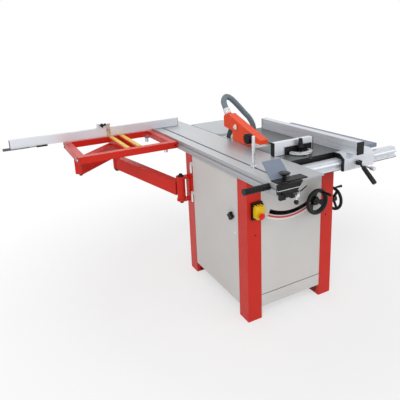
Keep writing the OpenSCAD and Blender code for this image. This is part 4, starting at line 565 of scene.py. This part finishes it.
# Raised silver scale on the mitre gauge's half disc, with a skirt over its rim
mitreScale = {"centre": (0.101, -0.262, 0.8505), "inner": 0.052, "outer": 0.0675, "low": 0.0055, "step": 0.0142,
    "top": 0.018, "from": 186, "to": 354, "steps": 84, "lip": 0.002, "skirtIn": 0.0012, "skirtOut": 0.0022,
    "sunk": 0.0004, "flat": 0.004, "tickEvery": 5, "tickWide": 0.14, "tickLow": 0.0085, "fineShift": 0.1,
    "fineWide": 0.2, "fineLow": 0.012, "silver": ((0.72, 0.73, 0.74, 1), (0.82, 0.83, 0.84, 1)),
    "ink": (0.05, 0.05, 0.055, 1)}


def mitreFinish(m):
    net = Net("mitreScaleFinish")
    x, y, z = net.axes()
    angle = net.make("ShaderNodeMath", {"operation": "ARCTAN2"}, {0: y - m["centre"][1], 1: x - m["centre"][0]})
    degrees = angle * (180 / math.pi) + 360
    tick = ((degrees / m["tickEvery"]).part() < m["tickWide"]) * (z > m["centre"][2] + m["tickLow"])
    fine = ((degrees + m["fineShift"]).part() < m["fineWide"]) * (z > m["centre"][2] + m["fineLow"])
    worn = net.noise(70.0, detail=4.0)
    base = net.mix(tick.either(fine), net.mix(worn, *m["silver"]), m["ink"])
    return net.close(net.surface(Base_Color=base, Roughness=worn.spread(0.3, 0.45), Metallic=0.35))


def makeMitreScale(m):
    inner, outer, under = m["inner"], m["outer"], m["step"] - m["sunk"]
    section = [(outer - m["lip"], under), (outer + m["skirtIn"], under), (outer + m["skirtIn"], m["low"]),
        (outer + m["skirtOut"], m["low"]), (outer + m["skirtOut"], m["step"]), (inner + m["flat"], m["top"]),
        (inner, m["top"]), (inner, under)]
    shape = bmesh.new()
    arcBar(shape, section, m["centre"], (1, 0, 0), (0, 1, 0), (0, 0, 1), m["from"], m["to"], m["steps"])
    piece("mitreScale", shape, mitreFinish(m), "mitre_head")


makeMitreScale(mitreScale)

# White three-lobed knob of the guard's bolt; the profile is in shares of its reach and thickness
knifeKnob = {"at": (-0.038, 0.133, 0.941), "reach": 0.0175, "thick": 0.013, "lobes": 3, "perLobe": 20, "wave": 0.14,
    "lobedFrom": 0.5, "plainGain": 0.9, "sharp": 50, "profile": [(0.45, -0.0005), (0.45, 0.3), (0.92, 0.34),
        (1, 0.45), (1, 0.75), (0.93, 0.92), (0.75, 1), (0.35, 1.04)]}


def makeKnifeKnob(k):
    side, other, ahead = frameOf((-1, 0, 0))
    shape = bmesh.new()
    rows = []
    count = k["perLobe"] * k["lobes"]
    for size, height in k["profile"]:
        row = []
        for i in range(count):
            a = 2 * math.pi * i / count
            lobe = 1 - k["wave"] + k["wave"] * math.cos(k["lobes"] * a)
            gain = lobe if size > k["lobedFrom"] else k["plainGain"]
            spot = (side * math.cos(a) + other * math.sin(a)) * k["reach"] * size * gain
            row.append(shape.verts.new(Vector(k["at"]) + spot + ahead * height * k["thick"]))
        rows.append(row)
    for first, second in zip(rows, rows[1:]):
        bridge(shape, first, second)
    shape.faces.new(rows[0])
    shape.faces.new(rows[-1])
    fit("knifeKnob", shape, "whitePlastic", "tilt_unit", k["sharp"])


makeKnifeKnob(knifeKnob)
print("scales and guard knob made")


# Blanking plugs in the open tube ends, caps on the fence's and the rail's ends: low corner, high corner, facing
plugs = {
    "outriggerPlugs": ("sliding_table", [((-0.9155, 0.4045, 0.8035), (-0.905, 0.4395, 0.8365), (-1, 0, 0)),
        ((-0.9155, 0.8225, 0.8035), (-0.905, 0.8575, 0.8365), (-1, 0, 0))]),
    "fenceCaps": ("crosscut_fence", [((-0.1172, 0.801, 0.852), (-0.114, 0.827, 0.908), (1, 0, 0)),
        ((-1.2375, 0.801, 0.852), (-1.2338, 0.827, 0.908), (-1, 0, 0))]),
    "railCap": ("base", [((-0.0335, -0.42, 0.768), (-0.0298, -0.378, 0.825), (-1, 0, 0))]),
}
for name, (body, blocks) in plugs.items():
    shape = bmesh.new()
    for block in blocks:
        plugBlock(shape, *block)
    fit(name, shape, "black", body)

# Heads of the screws and bolts; outlines are in shares of the head's radius
heads = {"screw": [(1, 0.3025), (0.86, 0.495), (0.55, 0.55), (0.5, 0.5225), (0.42, 0.165), (0, 0.165)],
    "screwSides": 24, "washer": [(1.35, 0.16), (1.28, 0.22), (0, 0.22)], "washerSides": 28,
    "hexagon": [(0, 0.2), (1, 0.2), (1, 0.78), (0.86, 0.9), (0, 0.9)]}


def scaled(outline, wide, tall):
    return [(wide * r, tall * h) for r, h in outline]


# Adds the underside, sunk by the seat
def seated(outline):
    return [(0, -seat), (outline[0][0], -seat)] + outline


def screw(shape, at, axis, radius):
    lathe(shape, seated(scaled(heads["screw"], radius, radius)), at, axis, heads["screwSides"])


def hexBolt(shape, at, axis, radius):
    lathe(shape, seated(scaled(heads["washer"], radius, radius)), at, axis, heads["washerSides"])
    lathe(shape, scaled(heads["hexagon"], radius, radius), at, axis, 6)


insertIn = {"x": 0.012, "y": 0.014}  # from the insert's edges to its screws
low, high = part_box("table_insert")
corners = [(x, y, high.z) for x in (low.x + insertIn["x"], high.x - insertIn["x"])
    for y in (low.y + insertIn["y"], high.y - insertIn["y"])]

# Kind, places, facing, radius, body and finish
fixings = {
    "insertScrews": (screw, corners, (0, 0, 1), 0.0035, "base", "steel"),
    "capScrews": (screw, [(x, -0.609, 0.838) for x in (-0.285, -0.188)], (0, -1, 0), 0.004, "sliding_table",
        "blackPaint"),
    "rearCapScrews": (screw, [(x, 1.019, 0.838) for x in (-0.285, -0.188)], (0, 1, 0), 0.004, "sliding_table",
        "blackPaint"),
    "hingeScrews": (screw, [(-0.283, 0.274, z + dz) for z in (0.506, 0.693) for dz in (-0.013, 0.013)], (-1, 0, 0),
        0.0035, "base", "steel"),
    "doorHingeScrews": (screw, [(-0.283, 0.238, z) for z in (0.5415, 0.7285)], (-1, 0, 0), 0.0035, "door", "steel"),
    "railBolt": (hexBolt, [(-0.262, -0.609, 0.796)], (0, -1, 0), 0.006, "base", "blackPaint"),
    "legScrews": (screw, [(x, -0.337, 0.492) for x in (-0.2327, 0.2327)], (0, -1, 0), 0.004, "base", "blackPaint"),
    "plugScrews": (screw, [(-0.914, y, 0.82) for y in (0.422, 0.84)], (-1, 0, 0), 0.006, "sliding_table", "steel"),
    "outriggerBolt": (screw, [(-0.318, 0.401, 0.82)], (0, -1, 0), 0.006, "sliding_table", "blackPaint"),
}
for name, (kind, places, axis, radius, body, key) in fixings.items():
    shape = bmesh.new()
    for at in places:
        kind(shape, at, axis, radius)
    fit(name, shape, key, body)
print("plugs, caps and screws made")

# Swinging arm: closing plate and rubber foot at its end, domed caps on its two pivots
arm = {"elbow": (-0.581, 0.826), "reach": (-0.314, -0.293), "low": 0.704, "high": 0.7965, "half": 0.025,
    "thick": 0.003, "round": 0.001, "sunk": 0.0006, "rim": 0.006, "footIn": 0.016, "footR": 0.011, "footTall": 0.014,
    "elbowLow": 0.602, "capR": 0.017, "capTall": 0.012, "hinge": (-0.33, 0.324), "nutR": 0.0115, "nutTall": 0.008,
    "dome": [(1, 0.4), (0.93, 0.68), (0.7, 0.88), (0.35, 0.98), (0, 1)], "sides": 32}
up, down = (0, 0, 1), (0, 0, -1)


def dome(shape, at, axis, radius, tall, a):
    lathe(shape, seated(scaled(a["dome"], radius, tall)), at, axis, a["sides"])


def makeArmFittings(a):
    span = Vector(a["reach"]).length
    turn = Matrix.Rotation(math.atan2(a["reach"][1], a["reach"][0]), 4, "Z")
    place = Matrix.Translation((*a["elbow"], 0)) @ turn
    shape = bmesh.new()
    plugBlock(shape, (span, -a["half"], a["low"]), (span + a["thick"], a["half"], a["high"]), (1, 0, 0), a["round"],
        a["sunk"], a["rim"])
    bmesh.ops.transform(shape, matrix=place, verts=shape.verts)
    fit("armPlug", shape, "red", "arm_upper")
    shape = bmesh.new()
    dome(shape, place @ Vector((span - a["footIn"], 0, a["low"])), down, a["footR"], a["footTall"], a)
    fit("armFoot", shape, "black", "arm_upper")
    shape = bmesh.new()
    dome(shape, (*a["elbow"], a["elbowLow"]), down, a["capR"], a["capTall"], a)
    fit("elbowCap", shape, "black", "arm_lower")
    low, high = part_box("arm_bracket")
    shape = bmesh.new()
    dome(shape, (*a["hinge"], high.z), up, a["nutR"], a["nutTall"], a)
    dome(shape, (*a["hinge"], low.z), down, a["nutR"], a["nutTall"], a)
    fit("hingeCaps", shape, "black", "base")


makeArmFittings(arm)

# Turn latch of the door's lock: shares of its radius against heights off the door
latch = {"at": (-0.2805, -0.228, 0.475), "radius": 0.006, "sides": 28,
    "outline": [(1.3, 0.0012), (1, 0.002), (1, 0.0045), (0.8, 0.0055), (0.5, 0.0055), (0.45, 0.003), (0, 0.003)]}


def makeLatch(d):
    shape = bmesh.new()
    lathe(shape, seated(scaled(d["outline"], d["radius"], 1)), d["at"], (-1, 0, 0), d["sides"])
    fit("doorLatch", shape, "steel", "door")


makeLatch(latch)

# Thick moulded grip over the rip fence's clamping lever: shares of its radius against the way in from each end
grip = {"pivot": (0.354, -0.444, 0.796), "drop": 40, "from": 0.03, "to": 0.1355, "radius": 0.0125, "sides": 36,
    "neck": [(0, 0), (0.7, 0), (0.88, 0.002), (0.94, 0.006)],
    "end": [(1, 0.03), (1, 0.007), (0.9, 0.002), (0.7, 0), (0, 0)]}


def makeGrip(g):
    drop = math.radians(g["drop"])
    neck = [(g["radius"] * r, g["from"] + along) for r, along in g["neck"]]
    end = [(g["radius"] * r, g["to"] - along) for r, along in g["end"]]
    shape = bmesh.new()
    lathe(shape, neck + end, g["pivot"], (0, -math.cos(drop), -math.sin(drop)), g["sides"])
    fit("leverGrip", shape, "black", "rip_lever")


makeGrip(grip)
print("arm fittings, latch and grip made")


# Light, backdrop and floor; a lamp has its place, power and size
studio = {"floor": 14.0, "aim": (0, 0, 0.6), "world": 0.55, "near": 0.9, "far": 2.0, "glow": 0.55,
    "white": (1, 1, 1, 1), "paper": ((0.86, 0.86, 0.86, 1), (0.9, 0.9, 0.9, 1)),
    "lamps": {"key": ((-2.6, -2.6, 3.4), 75.0, 2.0), "fill": ((2.8, -2.8, 2.2), 28.0, 2.6),
        "back": ((0.5, 3.2, 3.2), 30.0, 2.6)}}
scene = bpy.context.scene
scene.view_settings.view_transform = "Standard"


def areaLamp(name, at, power, size):
    data = bpy.data.lights.new(name, "AREA")
    data.energy = power
    data.size = size
    obj = bpy.data.objects.new(name, data)
    scene.collection.objects.link(obj)
    obj.location = at
    obj.rotation_euler = (Vector(studio["aim"]) - Vector(at)).to_track_quat("-Z", "Y").to_euler()


for name, settings in studio["lamps"].items():
    areaLamp(name, *settings)


# 1 for the rays that show the backdrop itself: straight to the camera, off metal, through glass
def backdropRays(net):
    path = net.make("ShaderNodeLightPath", {}, {}).socket.node
    kinds = ("Camera", "Glossy", "Transmission")
    straight, glossy, through = (Value(net, path.outputs["Is " + kind + " Ray"]) for kind in kinds)
    return straight.either(glossy).either(through)


def makeWorld(s):
    net = Net("studio", bpy.data.worlds.new("studio"))
    lit = net.make("ShaderNodeBackground", {}, {"Color": s["white"], "Strength": s["world"]})
    seen = net.make("ShaderNodeBackground", {}, {"Color": s["white"], "Strength": 1.0})
    scene.world = net.close(net.make("ShaderNodeMixShader", {}, {0: backdropRays(net), 1: lit, 2: seen}))


# Paper near the object, which holds its shadow, and plain white further out
def floorFinish(s):
    net = Net("floorPaper")
    paper = net.surface(Base_Color=net.mix(net.noise(2.0), *s["paper"]), Roughness=0.9, Specular_IOR_Level=0.0)
    white = net.make("ShaderNodeEmission", {}, {"Color": s["white"], "Strength": 1.0})
    x, y, _ = net.axes()
    shown = (x * x + y * y).root().ramp(s["near"], s["far"], s["glow"], 1.0)
    return net.close(net.make("ShaderNodeMixShader", {}, {0: shown * backdropRays(net), 1: paper, 2: white}))


def makeFloor(s):
    shape = bmesh.new()
    bmesh.ops.create_grid(shape, x_segments=2, y_segments=2, size=s["floor"])
    mesh = bpy.data.meshes.new("floor")
    shape.to_mesh(mesh)
    shape.free()
    floor = bpy.data.objects.new("floor", mesh)
    scene.collection.objects.link(floor)
    mesh.materials.append(floorFinish(s))


makeWorld(studio)
makeFloor(studio)
print("studio lit")
